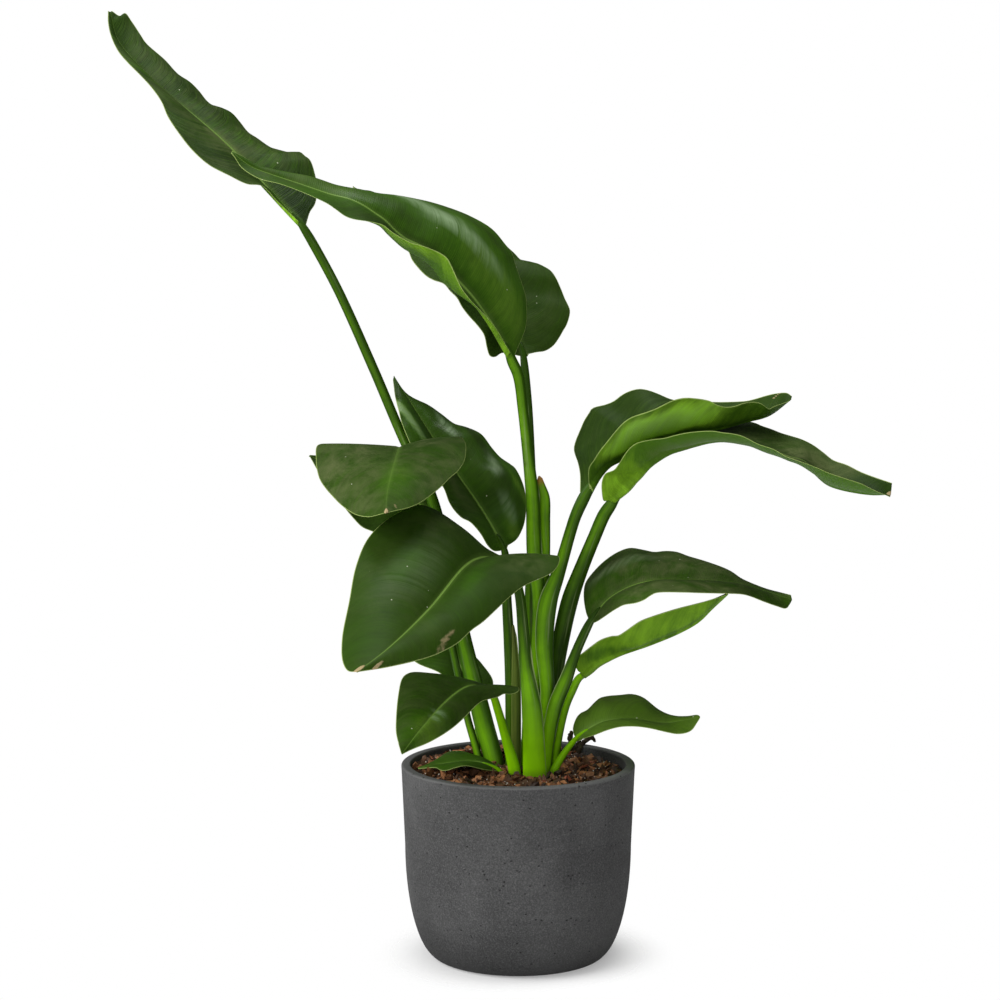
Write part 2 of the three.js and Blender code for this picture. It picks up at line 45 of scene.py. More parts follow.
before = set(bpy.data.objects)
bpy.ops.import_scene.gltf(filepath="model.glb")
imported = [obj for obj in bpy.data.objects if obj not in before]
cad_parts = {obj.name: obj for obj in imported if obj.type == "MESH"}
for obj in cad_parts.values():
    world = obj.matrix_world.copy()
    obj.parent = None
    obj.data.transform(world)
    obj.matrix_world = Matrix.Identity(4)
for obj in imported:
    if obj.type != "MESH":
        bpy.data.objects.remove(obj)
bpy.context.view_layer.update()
MM = 0.001

# ------------------------------------------------------------------ driving dimensions

# The viewer's eye, and an upright sheet that squarely faces it. Each point of the tables is
# [across, up, toward]: across from the pot's middle and up from the foot's front edge on that
# sheet, then how far the point stands in front of the pot's middle along the line of sight.
EYE = np.array([-18.0, -2245.0, 672.0])
TILT = math.radians(5.52)
SHEET_DISTANCE = 2295.0
SHEET_MIDDLE = (-19.0, 477.0)

POT_HEIGHT = 193.0
POT_RIM_RADIUS = 116.0
POT_SHOULDER_RADIUS = 112.5
POT_SHOULDER_HEIGHT = 112.0
POT_FOOT_RADIUS = 80.0
POT_WALL = 9.0
POT_FLOOR = 14.0
LIP_HIGHLIGHT_BAND = (2.6, 0.4)  # the lip's painted highlight, a paler band from and to so far below the rim
UPPER_PAINTED_LIGHT = (120.0, 190.0)  # heights over which the wall turns slightly paler, as painted light from above
FOOT_SHADE = 75.0  # height up to which the foot is darker

SOIL_LEVEL = 184.0  # the chips' mean height at the pot's wall
SOIL_DIP = 3.0  # lower than that in the middle
SOIL_HEAP = 5.5  # higher than that at the back left
SOIL_RADIUS = 105.6
SOIL_SKIRT = 12.0  # how far the bed's edge reaches down the wall
BED_DROP = 2.2  # how far the fine mix lies below the chips' mean height
BED_ROUGH = 0.8
HEAP_RUN = (-20.0, 80.0)  # how far back the heap starts and is highest
CHIP_WIDTH, CHIP_DEPTH = (0.45, 0.85), (0.2, 0.42)  # shares of a chip's length
GRAIN_SHAPE = np.array([1.0, 0.9, 0.75])
BURIED = 32.0  # of each stalk

# Each leaf has a stalk, [across, up, toward, width, depth] from the soil upward, and a blade:
# its rib and both margins from the stalk to the tip, left and right as seen from the stalk with
# the upper side up. Then come
# - belly: how far each half bulges to its upper side, left then right, in millimetres: the most,
#   or a list from the stalk to the tip
# - wave: the ripple of each margin, left then right, as (how many, how high)
# - buckle: how strong the slow buckles between the veins are
# - tone: from 0, fresh green, to 1, dark olive, or lighter below 0; stalk_tone is the stalk's own,
#   at the soil and at the blade, its darker values partly painted shade from the leaves above it;
#   inside is added on the blade's upper side only, as painted light on an upper side in shade
# - dust, gloss: how dull or how wet it looks; midrib: how plainly the pale midrib shows; patchy:
#   how strong its streaks, mottling and relief are
# - wing: the stalk's thin pale margin, as (side, from, to, width), its ends as shares of the stalk
LEAVES = {
    # tallest, leaning back and to the left
    "01": {
        "stalk": [[-24, 210, -38, 19, 9], [-36, 257, -48, 20, 9], [-54, 332, -65, 16, 8.5],
                  [-88, 481, -98, 12, 8], [-116, 539, -115, 10, 8], [-145, 607, -124, 10, 7.5],
                  [-181, 687, -128, 9.5, 7], [-208, 737, -130, 9.5, 6.5], [-216, 750, -131, 9, 6]],
        "rib": [[-217, 753, -131], [-240, 777, -142], [-262, 801, -153], [-286, 827, -164],
                [-304, 844, -172], [-329, 865, -182], [-357, 888, -194], [-379, 910, -207],
                [-401, 937, -222], [-409, 965, -232]],
        "left": [[-221, 756, -128], [-241, 775, -124], [-257, 791, -122], [-272, 793, -119],
                 [-291, 802, -117], [-310, 812, -120], [-326, 826, -126], [-339, 842, -133],
                 [-351, 860, -142], [-358, 876, -152], [-368, 890, -162], [-379, 902, -173],
                 [-391, 914, -187], [-401, 926, -200], [-408, 941, -213], [-411, 955, -224],
                 [-411, 966, -231]],
        "right": [[-213, 752, -134], [-209, 765, -150], [-204, 773, -160], [-202, 786, -174],
                  [-203, 798, -184], [-209, 817, -194], [-214, 821, -197], [-219, 825, -199],
                  [-225, 824, -201], [-236, 826, -204], [-247, 829, -206], [-262, 839, -211],
                  [-271, 845, -215], [-279, 855, -218], [-286, 863, -220], [-292, 867, -221],
                  [-301, 869, -222], [-311, 875, -224], [-320, 886, -227], [-329, 895, -229],
                  [-341, 903, -232], [-354, 917, -234], [-373, 934, -236], [-379, 943, -237],
                  [-387, 955, -238], [-394, 964, -237], [-399, 961, -236], [-407, 966, -233]],
        "belly": [4, 5], "wave": [(3.2, 1.6), (6.5, 2.4)],
        "tone": 1.1, "dust": 0.35, "midrib": 0.7, "patchy": 2.6, "stalk_tone": (0.85, 1.05),
    },
    # long channelled leaf over the middle
    "02": {
        "stalk": [[8, 206, -24, 14, 8], [15, 285, -31, 14, 8], [19, 330, -31, 14, 8],
                  [20, 377, -28, 14, 8], [15.2, 423, -20, 15, 8], [13.7, 476, -18, 13.8, 8],
                  [10.2, 512, -17, 11.5, 7.5], [4, 566, -16, 10, 7], [-1, 602, -15, 10.5, 7],
                  [-7, 616, -14, 12, 6.5]],
        "rib": [[-8, 621, -13], [-24, 649, -10], [-34, 664, -8], [-49, 684, -4], [-79, 715, 4],
                [-96, 730, 8], [-114, 739, 12], [-124, 747, 14], [-134, 757, 16], [-144, 764, 18],
                [-156, 772, 20], [-169, 778, 22], [-189, 783, 25], [-219, 793, 28], [-249, 803, 31],
                [-269, 811, 33], [-287, 825, 35]],
        "left": [[-9, 625, -8], [-27, 654, 20], [-44, 672, 34], [-51, 680, 39], [-58, 690, 44],
                 [-67, 710, 50], [-72, 719, 53], [-79, 724, 55], [-96, 731, 60], [-107, 734, 62],
                 [-117, 739, 64], [-127, 745, 65], [-136, 752, 66], [-147, 755, 66],
                 [-166, 758, 64], [-174, 761, 62], [-181, 766, 61], [-191, 773, 59],
                 [-201, 778, 57], [-217, 785, 52], [-239, 793, 48], [-259, 798, 43],
                 [-272, 805, 40], [-279, 811, 38], [-284, 819, 37], [-288, 824, 36]],
        "right": [[-4, 622, -17], [-1, 630, -24], [3, 639, -31], [6, 647, -37], [7.5, 655, -42],
                  [7, 679, -51], [4, 690, -55], [0, 702, -58], [-4, 714, -60], [-7, 724, -62],
                  [-14, 733, -62], [-27, 748, -60], [-49, 761, -55], [-72, 770, -49],
                  [-97, 777, -43], [-121, 780, -36], [-136, 779, -31], [-152, 781, -25],
                  [-177, 786, -14], [-194, 793, -5], [-204, 797, 1], [-227, 802, 12],
                  [-251, 808, 22], [-261, 812, 26], [-277, 821, 31], [-287, 826, 34]],
        "belly": [[0, 0, -4, -15, -13, -7, -3, -1, 0, 0, 0], 9], "wave": [(4.0, 0.4), (4.5, 0.8)],
        "tone": 0.1, "dust": 0.05, "gloss": 0.5, "stalk_tone": (0.55, 0.92),
    },
    # broad leaf behind it
    "03": {
        "stalk": [[7, 209, -34, 11, 7], [9, 270, -39, 11, 7], [10, 328, -41, 11, 7],
                  [11, 388, -42, 10, 7], [14, 457, -42, 9, 7], [12, 512, -42, 9, 7],
                  [9, 572, -42, 8.5, 6.5], [5, 616, -44, 8, 6]],
        "rib": [[5, 622, -45], [-11, 667, -70], [-41, 715, -100], [-89, 757, -130],
                [-166, 790, -168]],
        "left": [[1, 621, -43], [-17, 624, -37], [-24, 620, -33], [-29, 621, -31], [-32, 629, -30],
                 [-34, 639, -31], [-36, 644, -33], [-42, 652, -36], [-51, 662, -42],
                 [-57, 670, -46], [-62, 679, -50], [-69, 686, -56], [-75, 693, -61],
                 [-86, 697, -70], [-94, 702, -77], [-107, 717, -92], [-111, 726, -98],
                 [-140, 757, -130], [-166, 790, -167]],
        "right": [[9, 623, -46], [19, 625, -53], [26, 626, -58], [34, 631, -62], [40, 639, -67],
                  [44, 646, -71], [48, 653, -76], [51, 666, -84], [49, 672, -88], [46, 678, -92],
                  [42, 688, -95], [37, 699, -98], [32, 706, -102], [26, 710, -106], [17, 714, -110],
                  [9, 715, -114], [2, 717, -118], [-6, 725, -124], [-49, 758, -150],
                  [-132, 779, -166], [-149, 786, -169], [-160, 786, -169], [-166, 791, -169]],
        "belly": [4, 6], "wave": [(5.0, 1.6), (6.0, 1.8)],
        "tone": 1.0, "dust": 0.1, "stalk_tone": (0.7, 1.15),
    },
    # glossy leaf, middle left
    "04": {
        "stalk": [[-8, 209, -34, 12, 7], [-8, 287, -42, 12, 7], [-10, 337, -46, 11, 6.5],
                  [-12, 373, -47, 10, 6.5], [-14, 424, -50, 8, 6]],
        "rib": [[-15, 429, -51], [-27, 451, -58], [-42, 475, -70], [-61, 502, -85],
                [-89, 544, -112], [-125, 601, -151]],
        "left": [[-19, 426, -48], [-25, 426, -44], [-31, 431, -40], [-39, 444, -36],
                 [-49, 455, -35], [-57, 459, -36], [-65, 467, -38], [-70, 475, -41],
                 [-76, 490, -46], [-100, 517, -62], [-117, 553, -92], [-120, 565, -106],
                 [-124, 581, -130], [-126, 597, -149]],
        "right": [[-12, 431, -53], [-3, 437, -61], [3, 447, -73], [6, 457, -80], [7, 477, -94],
                  [4, 493, -104], [-4, 509, -114], [-9, 513, -117], [-19, 520, -122],
                  [-27, 529, -127], [-38, 543, -134], [-53, 550, -140], [-64, 553, -143],
                  [-79, 564, -147], [-91, 572, -150], [-112, 579, -152], [-120, 585, -152],
                  [-124, 593, -151], [-125, 600, -151]],
        "belly": [5, 6], "wave": [(5.0, 2.0), (4.0, 2.0)], "buckle": 2.0,
        "tone": 0.45, "dust": 0.1, "gloss": 0.3, "stalk_tone": (1.0, 1.05),
    },
    # drooping toward the viewer, upper left
    "05": {
        "stalk": [[-39, 211, -46, 8, 6], [-52, 261, -56, 7.5, 6], [-64, 317, -62, 7.5, 6],
                  [-79, 387, -66, 7.5, 6], [-99, 457, -66, 7, 5.5], [-114, 509, -63, 7, 5]],
        "rib": [[-116, 514, -60], [-119, 528, -34], [-120, 530, -5], [-123, 520, 40],
                [-128, 502, 88], [-132, 482, 128], [-133, 464, 158]],
        "left": [[-112, 513, -60], [-89, 526, -54], [-62, 540, -30], [-54, 535, 0], [-53, 525, 26],
                 [-55, 515, 44], [-61, 506, 60], [-69, 499, 74], [-78, 490, 88], [-89, 481, 105],
                 [-99, 474, 120], [-111, 469, 137], [-124, 466, 150], [-132, 464, 157]],
        "right": [[-120, 513, -60], [-149, 523, -54], [-183, 532, -26], [-201, 532, -4],
                  [-203, 517, 24], [-202, 507, 42], [-199, 497, 56], [-193, 488, 70],
                  [-185, 479, 86], [-178, 472, 98], [-167, 464, 116], [-159, 461, 129],
                  [-149, 460, 143], [-141, 462, 152], [-134, 464, 158]],
        "belly": [4, 2], "wave": [(3.0, 1.2), (5.0, 1.4)],
        "tone": 0.75, "dust": 0.75, "midrib": 0.2, "stalk_tone": (0.85, 1.15),
    },
    # half hidden below it, pointing left
    "06": {
        "stalk": [[-28, 213, -54, 8, 6], [-45, 287, -74, 7.5, 6], [-64, 367, -94, 7, 5.5],
                  [-75, 437, -110, 7, 5.5], [-78, 453, -114, 7, 5]],
        "rib": [[-80, 458, -117], [-112, 480, -118], [-160, 502, -112], [-210, 521, -100]],
        "left": [[-81, 455, -115], [-109, 440, -104], [-134, 441, -94], [-148, 446, -90],
                 [-157, 450, -88], [-165, 458, -87], [-179, 475, -86], [-197, 499, -89],
                 [-209, 520, -99]],
        "right": [[-79, 462, -119], [-92, 486, -132], [-122, 508, -140], [-165, 518, -134],
                  [-209, 522, -101]],
        "belly": [4, 4], "wave": [(4.0, 1.2), (4.0, 1.2)],
        "tone": 1.2, "dust": 0.05, "stalk_tone": (0.45, 0.9),
    },
    # largest, reaching toward the viewer
    "07": {
        "stalk": [[16, 202, 2, 24, 9.5], [13, 268, 3, 21, 9], [7, 311, 5, 12.5, 8],
                  [5, 337, 6, 12, 8], [0, 385, 8, 9.5, 7], [-9, 414, 11, 9, 6]],
        "rib": [[-12, 417, 14], [-20, 419, 32], [-39, 419, 66], [-54, 411, 96], [-91, 367, 178],
                [-134, 326, 250], [-162, 305, 276]],
        "left": [[-8, 416, 18], [14, 417, 24], [39, 421, 44], [35, 406, 78], [2, 389, 118],
                 [-36, 355, 172], [-47, 347, 188], [-61, 334, 204], [-75, 326, 217],
                 [-89, 320, 231], [-107, 315, 244], [-135, 309, 261], [-161, 305, 276]],
        "right": [[-16, 420, 16], [-42, 433, 28], [-61, 452, 38], [-97, 472, 64], [-125, 462, 88],
                  [-150, 440, 122], [-163, 411, 156], [-170, 375, 192], [-177, 338, 230],
                  [-176, 314, 260], [-171, 306, 269], [-163, 305, 275]],
        "belly": [7, 8], "wave": [(3.0, 1.6), (3.5, 1.6)],
        "tone": 0.85, "dust": 0.2, "patchy": 0.5, "stalk_tone": (-0.05, 1.45),
        "wing": ("right", 0.2, 0.62, 3.0),
    },
    # lower left, tip down toward the viewer
    "08": {
        "stalk": [[-4, 203, -5, 13, 7], [-15, 246, -2, 9, 6], [-22, 270, 8, 8, 5.5],
                  [-25, 279, 15, 8, 5]],
        "rib": [[-27, 282, 20], [-36, 290, 30], [-46, 292, 40], [-56, 289, 52], [-75, 274, 86],
                [-99, 247, 134], [-117, 223, 165]],
        "left": [[-23, 281, 22], [-10, 286, 25], [-1, 290, 30], [0, 286, 35], [-7, 283, 38],
                 [-15, 283, 43], [-21, 280, 50], [-36, 276, 64], [-42, 272, 72], [-56, 258, 94],
                 [-69, 247, 110], [-89, 235, 134], [-108, 227, 154], [-116, 223, 165]],
        "right": [[-30, 284, 18], [-29, 290, 16], [-39, 294, 14], [-54, 297, 15], [-74, 302, 19],
                  [-89, 304, 26], [-104, 305, 38], [-110, 304, 46], [-115, 301, 54],
                  [-118, 296, 64], [-120, 287, 80], [-122, 272, 104], [-123, 257, 122],
                  [-123, 245, 136], [-121, 235, 148], [-118, 224, 164]],
        "belly": [4, 5], "wave": [(4.0, 1.2), (4.0, 1.6)],
        "tone": 0.85, "dust": 0.35, "stalk_tone": (0.1, 0.5),
    },
    # dark leaf behind the two in front
    "09": {
        "stalk": [[-42, 215, -60, 6.5, 5], [-41, 257, -74, 6.5, 5], [-41, 269, -79, 6.5, 4.5]],
        "rib": [[-41, 273, -84], [-53, 300, -98], [-74, 335, -118], [-95, 370, -140],
                [-112, 392, -155]],
        "left": [[-44, 273, -82], [-62, 285, -80], [-78, 303, -86], [-105, 316, -98],
                 [-124, 345, -122], [-124, 372, -142], [-113, 391, -154]],
        "right": [[-38, 273, -85], [-28, 284, -92], [-26, 296, -100], [-37, 313, -114],
                  [-50, 328, -126], [-66, 358, -144], [-90, 385, -156], [-111, 392, -156]],
        "belly": [4, 4], "wave": [(4.0, 1.6), (4.0, 1.6)],
        "tone": 0.5, "dust": 0.1, "stalk_tone": (0.6, 0.9),
    },
    # small one lying low on the left
    "10": {
        "stalk": [[-17, 202, 2, 5.5, 3.5], [-20, 207, 2.5, 5, 3.2]],
        "rib": [[-22, 209, 3], [-39, 215, 7], [-59, 215, 10], [-79, 213, 13], [-101, 209, 14]],
        "left": [[-22, 206, 4], [-34, 207, 17], [-54, 211, 27], [-64, 209, 30], [-72, 206.5, 31],
                 [-78, 206.5, 28], [-83, 209, 22], [-101, 208, 15]],
        "right": [[-22, 211, 1], [-29, 216, -12], [-37, 220, -18], [-47, 223, -22], [-57, 226, -24],
                  [-66, 226, -21], [-73, 224, -17], [-79, 220, -10], [-86, 216, -2], [-94, 212, 8],
                  [-101, 209.5, 13]],
        "belly": [2, 2], "wave": [(3.0, 0.7), (3.0, 0.7)],
        "tone": 0.45, "dust": 0.25, "stalk_tone": (0.2, 0.5),
    },
    # small one low on the right
    "11": {
        "stalk": [[34, 203, -5, 9, 6], [44, 222, -6, 7, 5.5], [55, 236, -4, 6, 4.5]],
        "rib": [[57, 239, -2], [66, 246, 1], [76, 252, 4], [86, 256, 7], [101, 258, 10],
                [113, 258, 13], [126, 256, 17], [146, 254, 22], [166, 257, 27], [181, 260, 28]],
        "left": [[55, 242, -5], [54, 249, -12], [58, 260, -20], [62, 264, -22], [68, 267, -23],
                 [76, 275, -25], [81, 279, -26], [89, 281, -27], [101, 282, -28], [111, 283, -28],
                 [118, 282, -27], [125, 279, -24], [139, 268, -10], [149, 263, 0], [158, 261, 8],
                 [169, 261, 18], [179, 262, 25], [181, 260.5, 27]],
        "right": [[60, 236, 0], [64, 238, 6], [76, 242, 20], [89, 247, 32], [101, 250, 38],
                  [116, 250.5, 42], [129, 249, 45], [149, 244.5, 46], [158, 243, 44],
                  [167, 244, 42], [173, 247, 38], [178, 254, 33], [181, 259, 29]],
        "belly": [3, 3], "wave": [(3.5, 1.2), (3.0, 1.0)],
        "tone": -0.9, "dust": 0.3, "stalk_tone": (0.3, 0.5),
    },
    # folded pale one on the right
    "12": {
        "stalk": [[36, 208, -27, 8, 6], [40, 242, -26, 8, 6], [47, 272, -23, 8.5, 5.5],
                  [53, 286, -21, 8.5, 5.5], [60, 299, -20, 8, 5]],
        "rib": [[65, 302, -18], [71, 306, -14], [79, 313, -9], [88, 318, -5], [101, 324, -2],
                [131, 334, 4], [161, 346, 9], [179, 356, 10], [193, 369, 8], [209, 383, 5]],
        "left": [[63, 306, -22], [67, 315, -34], [80, 327, -38], [118, 346, -33], [168, 366, -20],
                 [192, 377, -11], [208, 384, 4]],
        "right": [[59, 306, -17], [55, 314, -16], [58, 321, -14], [62, 323, -12], [71, 330, -4],
                  [81, 337, 4], [93, 341, 16], [99, 341.5, 19], [105, 345, 20], [121, 356, 23],
                  [131, 360, 25], [156, 368, 27], [187, 376, 20], [209, 383, 6]],
        "belly": [-4, -6], "wave": [(3.0, 0.8), (3.0, 0.8)],
        # inside lightens the upper side as painted light, for it lies in shade
        "tone": 0.3, "inside": -1.6, "dust": 0.1, "patchy": 0.3, "stalk_tone": (0.7, 0.45),
    },
    # dark one, right of the middle
    "13": {
        "stalk": [[26, 205, -13, 11, 7], [35, 268, -9, 15, 8], [47, 298, -7, 14, 7.5],
                  [54, 317, -5, 10, 6.5], [60, 332, -3, 9.5, 6], [70, 353, -1, 9, 5.5]],
        "rib": [[72, 357, 0], [88, 377, 4], [110, 390, 8], [132, 396, 12], [168, 396, 16],
                [212, 394, 16], [256, 383, 14], [273, 377, 10]],
        "left": [[69, 359, -4], [67, 365, -16], [65, 377, -28], [65, 387, -36], [67, 395, -41],
                 [78, 409, -48], [88, 418, -51], [99, 425, -53], [111, 429, -55], [125, 427, -55],
                 [135, 425, -54], [147, 426, -52], [158, 425, -50], [169, 421, -45],
                 [189, 415, -37], [209, 407, -28], [217, 400, -24], [237, 391, -13],
                 [260, 385, -1], [272, 382, 6]],
        "right": [[75, 354, 4], [79, 356, 12], [97, 368, 40], [105, 372, 49], [117, 374, 57],
                  [125, 377, 61], [131, 381, 64], [137, 384, 66], [165, 384.5, 65],
                  [181, 384, 62], [201, 383.5, 56], [224, 382.5, 46], [233, 380, 42],
                  [243, 376, 37], [257, 371, 29], [267, 368.5, 22], [271, 373, 15]],
        "belly": [4, 5], "wave": [(3.0, 1.0), (5.0, 1.4)],
        "tone": 0.6, "dust": 0.8, "stalk_tone": (0.3, 1.2), "wing": ("left", 0.3, 0.72, 2.0),
    },
    # long arching one, far right
    "14": {
        "stalk": [[23, 211, -43, 13, 8], [33, 277, -50, 14, 8], [41, 332, -48, 17, 7.5],
                  [51, 377, -39, 17.5, 7.5], [61, 405, -30, 14.5, 7], [75, 439, -18, 13, 7],
                  [85, 462, -11, 13, 6.5], [91, 471, -7, 13, 6]],
        "rib": [[94, 478, -3], [108, 489, 3], [115, 497, 6], [120, 502, 9], [129, 512, 13],
                [140, 520, 17], [151, 526, 20], [164, 530, 24], [178, 534, 29], [191, 537, 34],
                [205, 538, 39], [225, 535, 45], [241, 531, 50], [270, 521, 58], [286, 516, 62],
                [297, 504, 65], [308, 494, 67], [320, 489, 69], [351, 483, 74], [372, 483, 76]],
        "left": [[95, 481, -7], [92, 492, -20], [100, 506, -30], [118, 525, -38], [150, 537, -40],
                 [185, 549, -35], [224, 556, -25], [236, 554, -19], [243, 551, -15],
                 [252, 548, -10], [262, 544, -5], [272, 541, 1], [283, 537.5, 8], [294, 532, 15],
                 [305, 524, 23], [314, 517, 31], [328, 512, 42], [342, 505, 52], [358, 499, 63],
                 [373, 494, 72]],
        "right": [[90, 477, 1], [85, 476, 4], [83, 483, 10], [83, 496, 20], [86, 503, 24],
                  [90, 505, 27], [95, 507, 30], [99, 512, 33], [109, 527, 40], [116, 533, 43],
                  [123, 535.5, 46], [134, 537.5, 49], [146, 539, 55], [157, 542, 60],
                  [170, 544.5, 65], [193, 546, 75], [203, 544.5, 79], [212, 543.5, 83],
                  [223, 541, 87], [239, 533, 92], [255, 527.5, 97], [266, 521, 101],
                  [277, 517, 104], [295, 510.5, 105], [310, 504, 104], [328, 498, 99],
                  [343, 493, 94], [355, 487, 87], [371, 480, 79]],
        "belly": [-4, -5], "wave": [(4.0, 1.2), (4.0, 0.6)],
        "tone": 1.1, "dust": 0.15, "midrib": 0.7, "stalk_tone": (1.2, 0.9),
    },
    # upper right, folded like a channel
    "15": {
        "stalk": [[25, 208, -27, 14, 8], [28, 285, -19, 14, 8.5], [25, 337, -18, 19, 8.5],
                  [29, 376, -17, 20, 8], [39, 403, -15, 13, 7.5], [52, 447, -14, 11.5, 7],
                  [57, 462, -13, 11.5, 7], [67, 483, -13, 13, 6.5]],
        "rib": [[70, 487, -12], [79, 502, -12], [89, 513, -10], [102, 520, -8], [127, 536, -5],
                [163, 545, 0], [194, 548, 3], [225, 556, 5], [249, 562, 5], [272, 578, 3]],
        "left": [[61, 485, -14], [61, 503, -32], [59, 514, -42], [55, 527, -50], [56, 534, -53],
                 [62, 549, -59], [65, 556, -62], [70, 564, -65], [73, 568.5, -66],
                 [87, 572.5, -68], [95, 576, -68], [103, 582, -68], [111, 586, -67],
                 [120, 588, -66], [128, 587, -65], [137, 584, -62], [155, 577, -53],
                 [195, 575, -36], [209, 575, -30], [227, 576, -24], [236, 578, -21],
                 [246, 581, -17], [257, 583.5, -13], [268, 584, -6], [273, 580.5, -1]],
        "right": [[70, 488, -10], [70, 509, 4], [75, 517, 10], [80, 525, 14], [91, 539, 21],
                  [103, 553, 25], [111, 559, 28], [120, 562.5, 31], [128, 565, 34],
                  [137, 568.5, 35], [146, 573, 36], [155, 577, 36], [164, 579, 36], [173, 579, 35],
                  [191, 576, 31], [198, 572, 30], [207, 570, 28], [216, 571, 27], [225, 574, 26],
                  [236, 575, 23], [243, 573, 21], [250, 568, 18], [255, 570.5, 16], [271, 576, 6]],
        "belly": [-3, -8], "wave": [(3.0, 1.0), (4.0, 0.8)], "buckle": 3.0,
        "tone": 1.1, "dust": 0.1, "patchy": 1.5, "stalk_tone": (0.55, 1.0),
        "wing": ("left", 0.35, 0.68, 2.0),
    },
}
